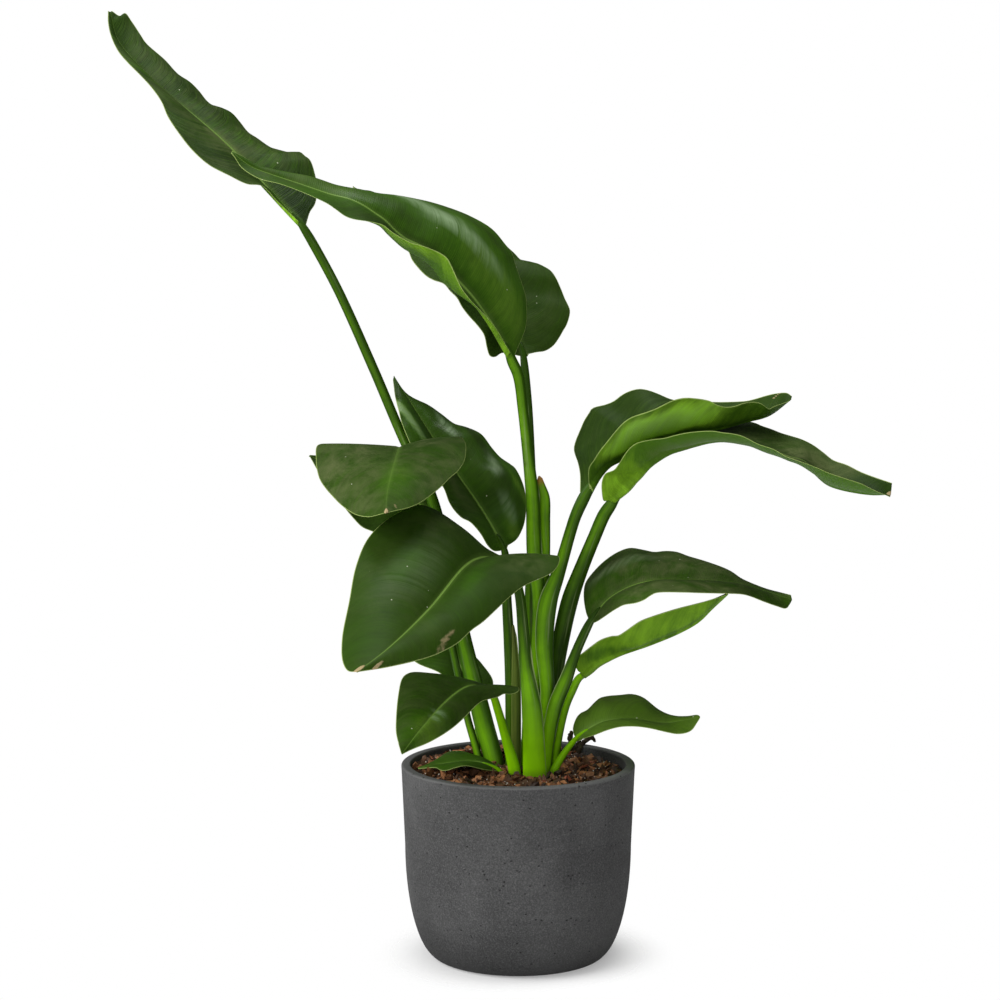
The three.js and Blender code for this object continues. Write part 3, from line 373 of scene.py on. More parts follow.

# Blotches of a blade, by leaf: what changes, where the blotch's middle is as a share of the length
# and of the half's width (1 left margin, 0 rib, -1 right margin), half its size along the leaf
# and along the veins in millimetres, and how strong it is. tone above 0 is darker and below 0
# lighter, and some tone blotches are painted light or shade: lighter ones painted highlights and
# light shining through, darker ones painted shade. The pale satin blotch is a painted highlight on
# curved parts, and scar is dry corky tissue.
BLOTCHES = {
    "01": [
        ("dust", 0.5, 0.1, 90, 9, 0.5), ("tone", 0.93, -0.2, 25, 14, 0.5),
        ("tone", 0.12, -0.7, 30, 22, 0.4), ("tone", 0.04, 0.4, 34, 12, -1.7),
        # painted shade: the dark tone blotch near the stalk on the right, a lobe turned from the
        # light
        ("tone", 0.08, -0.7, 44, 30, 1.7), ("dust", 0.08, -0.6, 60, 40, -1.0),
        ("dust", 0.95, 0.0, 44, 30, -0.4), ("dust", 0.3, 0.0, 40, 10, 0.4),
        ("tone", 0.35, -0.5, 40, 12, -0.4), ("tone", 0.3, 0.6, 36, 24, 0.8),
        ("tone", 0.6, -0.6, 40, 12, 0.8), ("dust", 0.42, 0.4, 50, 14, 0.3),
        ("tone", 0.72, 0.5, 34, 9, -0.8), ("dust", 0.25, -0.5, 30, 9, 0.4),
    ],
    "02": [
        # painted highlight: the pale satin band near the right margin; painted shade: the dark tone
        # strip along that margin
        ("wax", 0.43, -0.55, 72, 12, 0.7), ("tone", 0.42, -0.9, 70, 6, 0.6),
        ("dust", 0.78, -0.3, 60, 30, 0.35), ("dust", 0.1, 0.3, 26, 14, 0.5),
        ("gloss", 0.85, 0.0, 70, 60, -0.6), ("tone", 0.22, -0.5, 60, 30, -0.5),
        ("tone", 0.1, -0.6, 40, 24, -0.35), ("tone", 0.55, -0.3, 50, 9, 0.5),
        ("tone", 0.4, 0.4, 90, 26, 1.7), ("tone", 0.9, 0.5, 50, 20, 0.5),
        ("tone", 0.45, 0.5, 60, 30, 0.3),
    ],
    "03": [
        ("dust", 0.2, -0.5, 30, 30, 0.15), ("tone", 0.2, 0.5, 16, 12, -1.5),
    ],
    "04": [
        # painted highlights: the pale satin blotches; painted light: the lighter tone blotches
        # along the right margin and on the left spike
        ("wax", 0.67, -0.5, 20, 6, 0.7), ("wax", 0.41, -0.65, 14, 7, 0.6),
        ("tone", 0.28, -0.9, 40, 5, -1.2), ("tone", 0.1, -0.7, 26, 12, -1.1),
        ("tone", 0.6, -0.85, 60, 6, 0.8), ("gloss", 0.67, -0.5, 20, 12, 0.4),
        ("gloss", 0.41, -0.65, 26, 12, 0.4), ("dust", 0.35, 0.5, 40, 14, 0.7),
        ("tone", 0.8, 0.8, 50, 6, -2.2), ("wax", 0.8, 0.85, 50, 5, 0.6),
        ("tone", 0.55, -0.3, 80, 12, 0.3), ("wax", 0.2, -0.55, 20, 8, 0.4),
    ],
    "05": [
        ("dust", 0.45, -0.6, 40, 26, 0.7), ("dust", 0.3, 0.5, 24, 12, 0.5),
        ("tone", 0.7, 0.1, 50, 20, -0.8), ("dust", 0.75, 0.15, 44, 30, -0.45),
        ("scar", 0.985, 0.0, 7, 3, 1.0), ("scar", 0.93, 0.6, 3, 2, 0.8),
    ],
    "06": [
        ("tone", 0.5, 0.7, 30, 14, -0.4), ("tone", 0.95, 0.0, 14, 14, 0.6),
    ],
    "07": [
        # painted highlight: the faint pale satin blotch and the lighter tone blotch beside it
        ("wax", 0.5, -0.4, 60, 24, 0.12), ("tone", 0.5, -0.5, 34, 12, -0.7),
        ("tone", 0.12, -0.75, 60, 30, 0.4), ("tone", 0.35, 0.25, 60, 9, -0.6),
        ("tone", 0.3, 0.6, 60, 30, 0.5), ("dust", 0.5, 0.5, 50, 30, -0.3),
        ("dust", 0.85, -0.5, 40, 24, -0.2), ("dust", 0.15, 0.6, 50, 30, 0.9),
        ("dust", 0.3, -0.6, 40, 24, 0.3), ("scar", 0.74, 0.9, 24, 7, 0.56),
        ("scar", 0.985, -0.25, 9, 4, 1.3), ("scar", 0.95, 0.8, 11, 2, 1.0),
    ],
    "08": [
        # painted highlights: the two small pale satin streaks
        ("wax", 0.6, 0.15, 4, 9, 0.7), ("wax", 0.66, 0.2, 3, 7, 0.6),
        ("tone", 0.75, 0.4, 34, 24, -1.7), ("scar", 0.03, 0.9, 7, 6, 0.6),
    ],
    "10": [
        ("tone", 0.6, 0.0, 30, 20, -0.3),
    ],
    "11": [
        ("dust", 0.5, 0.8, 60, 12, 0.6), ("tone", 0.4, 0.5, 50, 20, -0.5),
    ],
    "12": [
        # painted shade: both narrow darker tone blotches
        ("tone", 0.2, -0.6, 30, 8, 0.9), ("tone", 0.6, -0.2, 60, 5, 0.8),
    ],
    "13": [
        ("dust", 0.45, -0.6, 70, 14, 0.7), ("tone", 0.1, 0.5, 26, 22, -0.5),
        # painted highlight: the pale satin blotch on the left half
        ("dust", 0.5, 0.5, 70, 26, 0.6), ("wax", 0.3, 0.7, 40, 10, 0.3),
        ("tone", 0.95, 0.0, 14, 14, -0.8),
    ],
    "14": [
        # painted light: the lighter tone blotch near the stalk
        ("tone", 0.08, -0.5, 44, 40, -1.4), ("dust", 0.33, -0.35, 60, 14, 0.7),
        ("dust", 0.6, 0.5, 90, 24, 0.8), ("dust", 0.08, -0.5, 40, 40, -0.4),
        ("tone", 0.5, -0.5, 150, 44, 1.0), ("tone", 0.5, -0.1, 60, 6, 0.9),
        ("tone", 0.9, 0.0, 60, 24, 0.6), ("dust", 0.92, 0.0, 60, 26, -0.8),
        ("dust", 0.72, 0.2, 50, 30, 0.9), ("scar", 0.995, 0.0, 4, 4, 0.9),
    ],
    "15": [
        # painted light: the strong lighter tone blotch over the near half; painted highlight: the
        # pale satin blotch
        ("tone", 0.42, -0.6, 64, 22, -3.3), ("tone", 0.3, 0.6, 90, 40, 0.4),
        ("wax", 0.42, -0.7, 60, 14, 0.3), ("tone", 0.93, 0.0, 26, 14, 0.4),
        ("scar", 0.94, 0.9, 3, 2, 0.9),
    ],
}

# young shoots, drawn as a stalk is and ending in a point
SHOOTS = {
    "rolled_leaf": {
        "stalk": [[34, 210, -39, 8, 6], [29, 285, -37, 8, 6], [26, 377, -38, 8, 6],
                  [27, 423, -31, 8, 6], [25.5, 458, -27, 12, 6], [25.5, 480, -25, 11.5, 5.5],
                  [23, 490, -24, 8, 4], [20, 501, -23, 1.5, 1.5]],
        "stalk_tone": (0.75, 0.75), "wing": ("left", 0.7, 0.99, 2.4), "slot": "stalk",
    },
    "husk": {
        "stalk": [[-3, 206, -21, 10, 5], [-3, 282, -26, 10, 5], [-4, 320, -32, 7, 4],
                  [-6, 352, -37, 2, 2]],
        "stalk_tone": (1.0, 1.0), "wing": ("right", 0.1, 0.98, 1.8), "slot": "husk",
    },
}

# withered ends of old stalks, standing in the soil at the back
STUBS = (
    [[51, 226, -84, 6, 4], [52, 234, -85, 5, 3.5], [51, 240, -86, 6, 4], [53, 246, -87, 2, 2]],
    [[60, 226, -84, 5, 4], [65, 235, -85, 5, 4], [73, 239, -86, 4, 3], [76, 236, -86, 2, 2]],
    [[56, 226, -86, 5, 4], [59, 233, -87, 4, 3], [62, 239, -88, 2, 2]],
)


# ------------------------------------------------------------------ settings


def length(name, description, default, low, high):
    """A length in metres."""
    return FloatProperty(name=name, description=description, default=default, min=low, max=high,
                         subtype="DISTANCE", unit="LENGTH")


def colour(name, description, default):
    """A colour, as three linear values."""
    return FloatVectorProperty(name=name, description=description, default=default, size=3,
                               min=0.0, max=1.0, subtype="COLOR")


def share(name, description, default, high=1.0):
    """A factor."""
    return FloatProperty(name=name, description=description, default=default, min=0.0, max=high,
                         subtype="FACTOR")


def whole(name, description, default, low, high):
    """A whole number."""
    return IntProperty(name=name, description=description, default=default, min=low, max=high)


def power(name, description, default):
    """The power of a light in watts."""
    return FloatProperty(name=name, description=description, default=default, min=0.0,
                         max=1000.0, unit="POWER")


class PotSettings(bpy.types.PropertyGroup):
    """Sizes and colours of the cement pot."""

    lip: length("Lip", "Radius of the rounded lip", 2.2 * MM, 0.0005, 0.0044)
    sides: whole("Sides", "Facets round the pot", 192, 48, 512)
    cement: colour("Cement", "Main grey of the cement", (0.0345, 0.0345, 0.035))
    # pale also makes the painted highlight on the lip and the painted light on the upper wall
    pale: colour("Pale cement", "Lighter film and lip", (0.102, 0.102, 0.102))
    # pit also darkens the foot as painted shade
    pit: colour("Pits", "Inside the small pits", (0.01, 0.01, 0.01))


class SoilSettings(bpy.types.PropertyGroup):
    """Sizes and colours of the potting mix."""

    chips: whole("Bark chips", "How many chips lie on top", 680, 1, 4000)
    chip_length: length("Chip length", "Length of a large bark chip", 21.0 * MM, 0.003, 0.03)
    grains: whole("Mineral grains", "How many white grains show", 230, 1, 1000)
    grain_width: length("Grain width", "Width of a large mineral grain", 2.1 * MM, 0.0005, 0.006)
    earth: colour("Earth", "Fine dark mix between the chips", (0.009, 0.005, 0.003))
    bark: colour("Bark", "Brown of most chips", (0.3, 0.125, 0.048))
    red_bark: colour("Red bark", "Reddest chips", (0.3, 0.07, 0.03))
    mineral: colour("Mineral grain", "White grains", (0.62, 0.58, 0.5))


class LeafSettings(bpy.types.PropertyGroup):
    """Sizes and colours of the leaf blades."""

    thickness: length("Thickness", "Thickness of a blade's middle", 0.6 * MM, 0.0002, 0.002)
    vein_gap: length("Vein gap", "Distance between fine veins", 1.9 * MM, 0.0005, 0.01)
    margin: length("Margin", "Width of the pale margin line", 0.65 * MM, 0.0, 0.003)
    # light is partly a lighter green of the leaf and partly painted light where tone runs below 0
    light: colour("Light green", "Thin or brightest parts of the upper side", (0.085, 0.17, 0.014))
    fresh: colour("Fresh green", "Upper side of a young leaf", (0.03, 0.085, 0.003))
    olive: colour("Dark olive", "Upper side of an old leaf", (0.0195, 0.045, 0.004))
    # deep also darkens where tone runs past 1.1, partly painted shade
    deep: colour("Deep green", "Darkest streaks of the upper side", (0.007, 0.02, 0.0015))
    under: colour("Under side", "Lower side of a leaf", (0.17, 0.34, 0.014))
    under_dark: colour("Under side, dark", "Lower side in its darker parts", (0.048, 0.12, 0.006))
    rib: colour("Midrib", "Midrib on the upper side", (0.15, 0.26, 0.045))
    rim: colour("Margin line", "Pale line along the margin", (0.33, 0.42, 0.13))
    # painted light: the bright green that the lower side takes where light would shine through it
    thin: colour("Thin parts", "Lower side where light passes through", (0.31, 0.64, 0.035))
    dust: colour("Dust", "Dull film on older leaves", (0.092, 0.113, 0.041))
    # painted highlight: a pale satin colour laid on curved parts
    wax: colour("Wax", "Satin bloom of curved parts", (0.26, 0.37, 0.2))
    speck: colour("Specks", "Small pale dots on old leaves", (0.5, 0.52, 0.38))
    scar: colour("Scar", "Dry corky tissue", (0.36, 0.28, 0.15))


class StalkSettings(bpy.types.PropertyGroup):
    """Sizes and colours of the leaf stalks."""

    step: length("Step", "Length of one ring of a stalk", 3.0 * MM, 0.001, 0.02)
    sides: whole("Sides", "Facets round a stalk", 36, 12, 96)
    bright: colour("Bright green", "Youngest stalks near the soil", (0.26, 0.62, 0.0005))
    # deep also carries the painted shade toward the stalks' right sides and edges
    deep: colour("Deep green", "Older stalks and their upper parts", (0.026, 0.078, 0.0015))
    dark: colour("Dark green", "The oldest, shaded stalks", (0.016, 0.042, 0.001))
    wing: colour("Wing", "Thin pale margin of a sheath", (0.46, 0.58, 0.24))
    husk: colour("Husk", "Dry olive sheath leaf", (0.085, 0.12, 0.012))
    tip: colour("Dry tip", "Browned tip of a young shoot", (0.3, 0.12, 0.03))
    dead: colour("Dead tissue", "Withered ends and stubs", (0.028, 0.016, 0.008))


class StageSettings(bpy.types.PropertyGroup):
    """Floor, light and camera."""

    floor_radius: length("Floor radius", "Radius of the pale floor", 1.5, 0.3, 10.0)
    floor: colour("Floor", "Pale floor", (0.93, 0.93, 0.93))
    shade: share("Contact shade", "How dark the floor is close to the pot", 0.4)
    shade_reach: length("Shade reach", "Radius at which the contact shade ends", 0.16, 0.1, 1.0)
    lens: FloatProperty(name="Lens", description="Focal length of the camera", default=82.62,
                        min=20.0, max=300.0, subtype="DISTANCE_CAMERA", unit="CAMERA")
    key: power("Key light", "Power of the large light, front left", 104.0)
    fill: power("Fill light", "Power of the light behind the camera", 30.0)
    top: power("Top light", "Power of the light above", 44.0)
    glow: share("Floor glow", "How much light the floor itself gives", 0.25, 3.0)
    ambient: share("Ambient", "Brightness of the surroundings", 0.08, 3.0)


# ------------------------------------------------------------------ curves and nets


def place(points):
    """Points of the sheet, [across, up, toward, ...] in rows, as millimetres in the frame."""
    across, up, toward = np.asarray(points, float)[:, :3].T
    rise = up - SHEET_MIDDLE[1]
    sight = np.stack([across - SHEET_MIDDLE[0],
                      SHEET_DISTANCE * math.cos(TILT) + rise * math.sin(TILT),
                      rise * math.cos(TILT) - SHEET_DISTANCE * math.sin(TILT)], -1)
    return EYE + sight * ((-toward - EYE[1]) / sight[:, 1])[:, None]


def unit(vectors):
    """The vectors, each made one long."""
    return vectors / np.maximum(np.linalg.norm(vectors, axis=-1, keepdims=True), 1e-9)


def round_steps(sides):
    """So many even angles round a circle."""
    return np.arange(sides) / sides * 2 * math.pi


def eased(low, high, x):
    """0 below low, 1 above high, and smooth between."""
    t = np.clip((x - low) / (high - low), 0, 1)
    return t * t * (3 - 2 * t)


class Curve:
    """A smooth curve through points, the centripetal Catmull-Rom one, measured by its length."""

    PER_SPAN = 24

    def __init__(self, points):
        inner = np.asarray(points, float)
        p = np.vstack([2 * inner[0] - inner[1], inner, 2 * inner[-1] - inner[-2]])
        gap = np.maximum(np.sqrt(np.linalg.norm(np.diff(p, axis=0), axis=1)), 1e-6)[:, None]
        t = np.linspace(0, 1, self.PER_SPAN, endpoint=False)[:, None]
        spans = []
        for k in range(len(inner) - 1):
            a, b, c, d = p[k:k + 4]
            before, span, after = gap[k:k + 3]
            leave = ((b - a) / before - (c - a) / (before + span) + (c - b) / span) * span
            arrive = ((c - b) / span - (d - b) / (span + after) + (d - c) / after) * span
            spans.append((2 * t**3 - 3 * t**2 + 1) * b + (t**3 - 2 * t**2 + t) * leave
                         + (3 * t**2 - 2 * t**3) * c + (t**3 - t**2) * arrive)
        self.points = np.vstack([*spans, inner[-1:]])
        steps = np.linalg.norm(np.diff(self.points, axis=0), axis=1)
        self.reach = np.concatenate([[0], np.cumsum(steps)])
        self.length = self.reach[-1]
        self.knots = self.reach[::self.PER_SPAN] / self.length

    def at(self, shares):
        """Points at these shares of the length."""
        where = np.asarray(shares) * self.length
        return np.stack([np.interp(where, self.reach, self.points[:, k]) for k in range(3)], -1)

    def heading(self, shares, little=0.015):
        """Unit directions at these shares of the length."""
        ahead = self.at(np.minimum(shares + little, 1))
        return unit(ahead - self.at(np.maximum(shares - little, 0)))


def smoothed(values, width):
    """A running mean along the first axis, over about width rows either way."""
    rows = np.arange(len(values))
    near = np.exp(-0.5 * ((rows[:, None] - rows[None, :]) / width) ** 2)
    return near @ values / near.sum(1)[:, None]


def grid_faces(rows, columns, start=0, closed=False, flip=False):
    """Quads of a net of points held row by row."""
    low = np.arange(rows - 1)[:, None] * columns + start
    column = np.arange(columns if closed else columns - 1)
    following = (column + 1) % columns
    quads = np.stack([low + column, low + following, low + columns + following,
                      low + columns + column], -1).reshape(-1, 4)
    return quads[:, ::-1] if flip else quads


def make_piece(name, skin, material, node=None, smooth=True):
    """A mesh object riding on the plant's one body, in place of a node where it has one.

    Its skin is points in millimetres, faces, and perhaps numbers that the finish reads.
    """
    points, faces, *numbers = skin
    mesh = bpy.data.meshes.new(name)
    mesh.from_pydata((np.asarray(points) * MM).tolist(), [], [list(map(int, f)) for f in faces])
    mesh.materials.append(material)
    for key, values in dict(*numbers).items():
        layer = mesh.attributes.new(key, "FLOAT", "POINT")
        layer.data.foreach_set("value", np.asarray(values, np.float32))
    mesh.polygons.foreach_set("use_smooth", [smooth] * len(mesh.polygons))
    mesh.validate()
    mesh.update()
    piece = bpy.data.objects.new(name, mesh)
    bpy.context.scene.collection.objects.link(piece)
    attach(piece, "root")
    if node:
        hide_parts(node)


# ------------------------------------------------------------------ shader maths


class Signal:
    """A shader socket holding a number, on which + - * and ** add Math nodes."""

    def __init__(self, finish, socket):
        self.finish = finish
        self.socket = socket

    def math(self, operation, other=0.0, clamp=False):
        node = self.finish.node("ShaderNodeMath", {"operation": operation, "use_clamp": clamp},
                                {0: self, 1: other})
        return Signal(self.finish, node.outputs["Value"])

    def __add__(self, other):
        return self.math("ADD", other)

    __radd__ = __add__

    def __sub__(self, other):
        return self.math("SUBTRACT", other)

    def __rsub__(self, other):
        return self * -1 + other

    def __mul__(self, other):
        return self.math("MULTIPLY", other)

    __rmul__ = __mul__

    def __pow__(self, other):
        return self.math("POWER", other)

    def clamped(self):
        """This, held between 0 and 1."""
        return self.math("ADD", clamp=True)

    def at_most(self, most):
        return self.math("MINIMUM", most)

    def wave(self, period):
        """A sine of this, between 0 and 1."""
        return (self * (2 * math.pi / period)).math("SINE") * 0.5 + 0.5

    def between(self, low, high):
        """0 where this is below low, 1 where it is above high, and smooth between."""
        node = self.finish.node("ShaderNodeMapRange", {"interpolation_type": "SMOOTHSTEP"},
                                {"Value": self, "From Min": low, "From Max": high})
        return Signal(self.finish, node.outputs["Result"])


class Finish:
    """A material: what is alike all over is set on the shader, and what varies is linked."""

    # where a Mix node keeps its sockets for colours, whose names it shares with other types
    MIX_FACTOR, MIX_FIRST, MIX_SECOND, MIXED = 0, 6, 7, 2

    def __init__(self, name, **constants):
        self.material = bpy.data.materials.new(name)
        self.material.use_nodes = True
        self.tree = self.material.node_tree
        self.shader = self.tree.nodes["Principled BSDF"]
        for key, value in constants.items():
            self.shader.inputs[key.replace("_", " ")].default_value = value

    def plug(self, socket, value):
        """Links a signal or another node's socket to a socket, or else sets its value."""
        if isinstance(value, Signal):
            value = value.socket
        if isinstance(value, bpy.types.NodeSocket):
            self.tree.links.new(value, socket)
        else:
            socket.default_value = value

    def node(self, kind, settings=None, inputs=None):
        """Any node: its settings first, then the values or links of its sockets."""
        node = self.tree.nodes.new(kind)
        for key, value in (settings or {}).items():
            if key == "stops":
                ramp = node.color_ramp
                while len(ramp.elements) < len(value):
                    ramp.elements.new(1.0)
                for element, (position, shade) in zip(ramp.elements, value):
                    element.position = position
                    element.color = (*shade, 1.0)
            else:
                setattr(node, key, value)
        for key, value in (inputs or {}).items():
            self.plug(node.inputs[key], value)
        return node

    def numbers(self, *names):
        """Numbers that the mesh holds at each point."""
        nodes = [self.node("ShaderNodeAttribute", {"attribute_name": name}) for name in names]
        return [Signal(self, node.outputs["Fac"]) for node in nodes]

    def position(self, scale=(1.0, 1.0, 1.0)):
        """The point's place in the frame, in metres, stretched by scale."""
        at = self.node("ShaderNodeTexCoord").outputs["Object"]
        return self.node("ShaderNodeVectorMath", {"operation": "MULTIPLY"},
                         {0: at, 1: scale}).outputs["Vector"]

    def vector(self, x, y, z=0.0):
        return self.node("ShaderNodeCombineXYZ", inputs={"X": x, "Y": y, "Z": z}).outputs["Vector"]

    def noise(self, vector, scale, detail=3.0, roughness=0.55, distortion=0.0):
        """Noise of scale lumps for each metre, or for each unit of another vector."""
        node = self.node("ShaderNodeTexNoise", inputs={
            "Vector": vector, "Scale": scale, "Detail": detail, "Roughness": roughness,
            "Distortion": distortion})
        return Signal(self, node.outputs["Fac"])

    def spots(self, vector, scale, middle, rim):
        """Round spots, one in each cell: 1 out to middle, and 0 from rim on."""
        node = self.node("ShaderNodeTexVoronoi", inputs={"Vector": vector, "Scale": scale})
        return 1 - Signal(self, node.outputs["Distance"]).between(middle, rim)

    def mix(self, base, *layers):
        """A colour with others laid over it in turn, each as (how thickly, colour)."""
        for cover, shade in layers:
            below, above = (value if isinstance(value, bpy.types.NodeSocket) else (*value, 1.0)
                            for value in (base, shade))
            node = self.node("ShaderNodeMix", {"data_type": "RGBA"}, {
                self.MIX_FACTOR: cover, self.MIX_FIRST: below, self.MIX_SECOND: above})
            base = node.outputs[self.MIXED]
        return base

    def feed(self, name, value):
        self.plug(self.shader.inputs[name], value)

    def bump(self, height, distance):
        """Relief of a height from 0 to 1 that stands distance metres high."""
        node = self.node("ShaderNodeBump", inputs={"Height": height, "Distance": distance,
                                                   "Strength": 1.0})
        self.feed("Normal", node.outputs["Normal"])


def cement_finish(pot):
    """Matte cement: mottled, pitted, with faint level streaks, a painted highlight on the lip,
    painted light on the upper wall and painted shade at the foot.
    """
    finish = Finish("cement", Specular_IOR_Level=0.2)
    at = finish.position()
    cloud = finish.noise(at, 14.0, detail=5.0)
    streak = finish.noise(finish.position((9.0, 9.0, 190.0)), 1.0, detail=4.0)
    grain = finish.noise(at, 1100.0, detail=2.0)
    fleck = finish.noise(at, 620.0, detail=3.0, roughness=0.7)
    scatter = finish.noise(at, 60.0, detail=1.0).between(0.47, 0.55)
    pit = finish.spots(finish.position((1.0, 1.0, 1.25)), 130.0, 0.09, 0.19) * scatter
    height = Signal(finish, finish.node("ShaderNodeSeparateXYZ", inputs={0: at}).outputs["Z"])
    # painted highlight along the lip, painted light on the upper wall and painted shade at the foot
    lip = height.between(*((POT_HEIGHT - below) * MM for below in LIP_HIGHLIGHT_BAND))
    painted_upper_light = height.between(*(level * MM for level in UPPER_PAINTED_LIGHT))
    foot = 1 - height.between(0.0, FOOT_SHADE * MM)
    pale = (cloud.between(0.35, 0.75) * 0.3 + streak.between(0.45, 0.7) * 0.07
            + fleck.between(0.46, 0.7) * 0.5 + grain.between(0.46, 0.7) * 0.3
            + lip * 1.1 + painted_upper_light * 0.12)
    finish.feed("Base Color", finish.mix(
        pot.cement,
        (pale.at_most(1.0), pot.pale),
        (fleck.between(0.3, 0.44) * -0.35 + 0.35, pot.pit),
        (foot * 0.42, pot.pit),
        (pit * 0.85, pot.pit)))
    finish.feed("Roughness", 0.78 + grain * 0.16 - lip * 0.12)
    finish.bump(grain * 0.25 + fleck * 0.45 - pit + cloud * 0.3, 0.5 * MM)
    return finish.material


def earth_finish(soil):
    """The fine dark mix between the chips."""
    finish = Finish("earth", Specular_IOR_Level=0.25)
    at = finish.position()
    crumbs = finish.noise(at, 420.0, detail=4.0, roughness=0.7)
    clods = finish.noise(at, 90.0)
    finish.feed("Base Color", finish.mix(
        soil.earth,
        (crumbs.between(0.4, 0.75), soil.bark),
        (clods.between(0.3, 0.7) * 0.6, soil.earth)))
    finish.feed("Roughness", 0.8 + crumbs * 0.2)
    finish.bump(crumbs, 1.5 * MM)
    return finish.material


def bark_finish(soil):
    """Bark chips: each one has its own brown, with grain along it."""
    finish = Finish("bark", Specular_IOR_Level=0.4)
    (hue,) = finish.numbers("hue")
    grain = finish.noise(finish.position((1.0, 1.0, 3.5)), 300.0, detail=4.0, roughness=0.65)
    stain = finish.noise(finish.position(), 150.0)
    browns = [(where, [c * bright for c in soil.bark])
              for where, bright in ((0.0, 0.06), (0.3, 0.35), (0.6, 0.8), (0.88, 1.4))]
    base = finish.node("ShaderNodeValToRGB", {"stops": [*browns, (1.0, soil.red_bark)]},
                       {"Fac": hue}).outputs["Color"]
    finish.feed("Base Color", finish.mix(
        base,
        (grain.between(0.35, 0.72) * 0.45, soil.earth),
        (stain.between(0.58, 0.78) * 0.45, soil.earth)))
    finish.feed("Roughness", 0.42 + grain * 0.4)
    finish.bump(grain, 0.7 * MM)
    return finish.material


def grain_finish(soil):
    """White porous mineral grains."""
    finish = Finish("mineral", IOR=1.5)
    spots = finish.noise(finish.position(), 900.0)
    finish.feed("Base Color", finish.mix(
        soil.mineral, (spots.between(0.5, 0.75) * 0.5, soil.bark)))
    finish.feed("Roughness", 0.6 + spots * 0.3)
    finish.bump(spots, 0.3 * MM)
    return finish.material


def leaf_finish(leaf):
    """Both sides of a blade, from the numbers that its mesh holds."""
    finish = Finish("leaf", Specular_IOR_Level=0.05, Coat_Roughness=0.26, Coat_IOR=1.45)
    under, tone, dust, gloss, wax, scar = finish.numbers(
        "under", "tone", "dust", "gloss", "wax", "scar")
    slim, rib, midrib, patchy, edge, vein, out = finish.numbers(
        "slim", "rib", "midrib", "patchy", "edge", "vein", "out")
    at = finish.position()
    fine = vein.wave(leaf.vein_gap / MM)
    streak = finish.noise(finish.vector(vein, out * 0.06), 0.16, detail=3.0, roughness=0.6)
    stripe = finish.noise(finish.vector(vein, out * 0.03), 0.75, detail=2.0)
    cloud = finish.noise(at, 26.0, detail=3.0)
    smudge = finish.noise(at, 40.0, detail=6.0, roughness=0.65, distortion=0.5)
    mottle = finish.noise(finish.vector(vein, out * 0.3, 5.0), 0.09, detail=5.0, roughness=0.7)
    blotchy = ((streak - 0.5) * 0.5 + (mottle - 0.5) * 1.4) * patchy
    mood = tone + (cloud - 0.5) * 1.1 + blotchy + (fine - 0.5) * 0.2
    # lit: where tone runs below 0, partly the leaf's own lighter green and partly painted light
    lit = (mood * -1).clamped()
    film = dust * (smudge + (streak - 0.5) * 0.25 * patchy).between(0.28, 0.78) * 0.78
    film = film.at_most(0.8)
    glow = (1 - rib.between(0.8, 4.5)) * 0.22 * slim
    line = (1 - rib.between(0.5, 1.1)) * (slim * 0.6 + 0.35) * midrib
    # painted highlight: the pale satin colour where the blotch table puts it
    sheen = wax * (streak * 0.5 + stripe * 0.2 + cloud * 0.3).between(0.3, 0.6)
    upper = finish.mix(
        leaf.fresh,
        (mood.clamped(), leaf.olive),
        (lit, leaf.light),
        # darker still past 1.1: with the darker tone blotches, partly painted shade
        ((mood - 1.1).clamped() * 0.8, leaf.deep),
        (stripe.between(0.5, 0.7) * patchy * 0.08, leaf.light),
        ((1 - stripe.between(0.3, 0.5)) * patchy * 0.18, leaf.deep),
        ((1 - cloud.between(0.25, 0.5)) * 0.35, leaf.deep),
        (film, leaf.dust),
        (sheen, leaf.wax),
        ((glow + line).at_most(0.95), leaf.rib))
    dull = cloud.between(0.3, 0.7) * 0.4 + mottle.between(0.3, 0.7) * 0.45 + tone * 0.6 - 0.1
    lower = finish.mix(
        leaf.under,
        (dull.clamped(), leaf.under_dark),
        (stripe.between(0.48, 0.66) * patchy * 0.16, leaf.under_dark),
        # painted light: lighter tone turns the lower side to that bright green
        (lit, leaf.thin),
        (film * 0.8, leaf.dust),
        (sheen, leaf.wax),
        (line * 0.5, leaf.rib))
    brink = 1 - edge.between(leaf.margin / MM * 0.6, leaf.margin / MM * 1.3)
    rare = finish.noise(at, 31.0, detail=0.0).between(0.5, 0.53)
    speck = finish.spots(at, 62.0, 0.035, 0.05) * rare * (1 - under)
    dry = (scar + (smudge - 0.5) * 1.2 * scar.between(0.05, 0.4)).between(0.35, 0.75)
    finish.feed("Base Color", finish.mix(
        upper,
        (under, lower),
        (brink * 0.7, leaf.rim),
        (speck * 0.85, leaf.speck),
        (dry * 0.9, leaf.scar)))
    finish.feed("Roughness", 0.38 + cloud * 0.12 + film * 0.3 + dry * 0.4 + under * 0.08)
    coat = (gloss * (0.2 + cloud * 0.6) + sheen * 0.4) * (1 - film) * (1 - dry) * (1 - under)
    finish.feed("Coat Weight", coat.clamped())
    relief = fine * 0.08 + (stripe * 0.18 + streak * 0.22) * patchy + cloud * 0.15 + dry * 0.5
    finish.bump(relief, 0.9 * MM)
    return finish.material


def round_noise(finish, pace, stretch, detail, roughness=0.55):
    """Noise drawn out along a stalk: pace is how fast it changes round it, stretch along it."""
    wide, deep, height = finish.numbers("wide", "deep", "height")
    return finish.noise(finish.vector(wide * pace, deep * pace, height * stretch), 1.0, detail,
                        roughness)


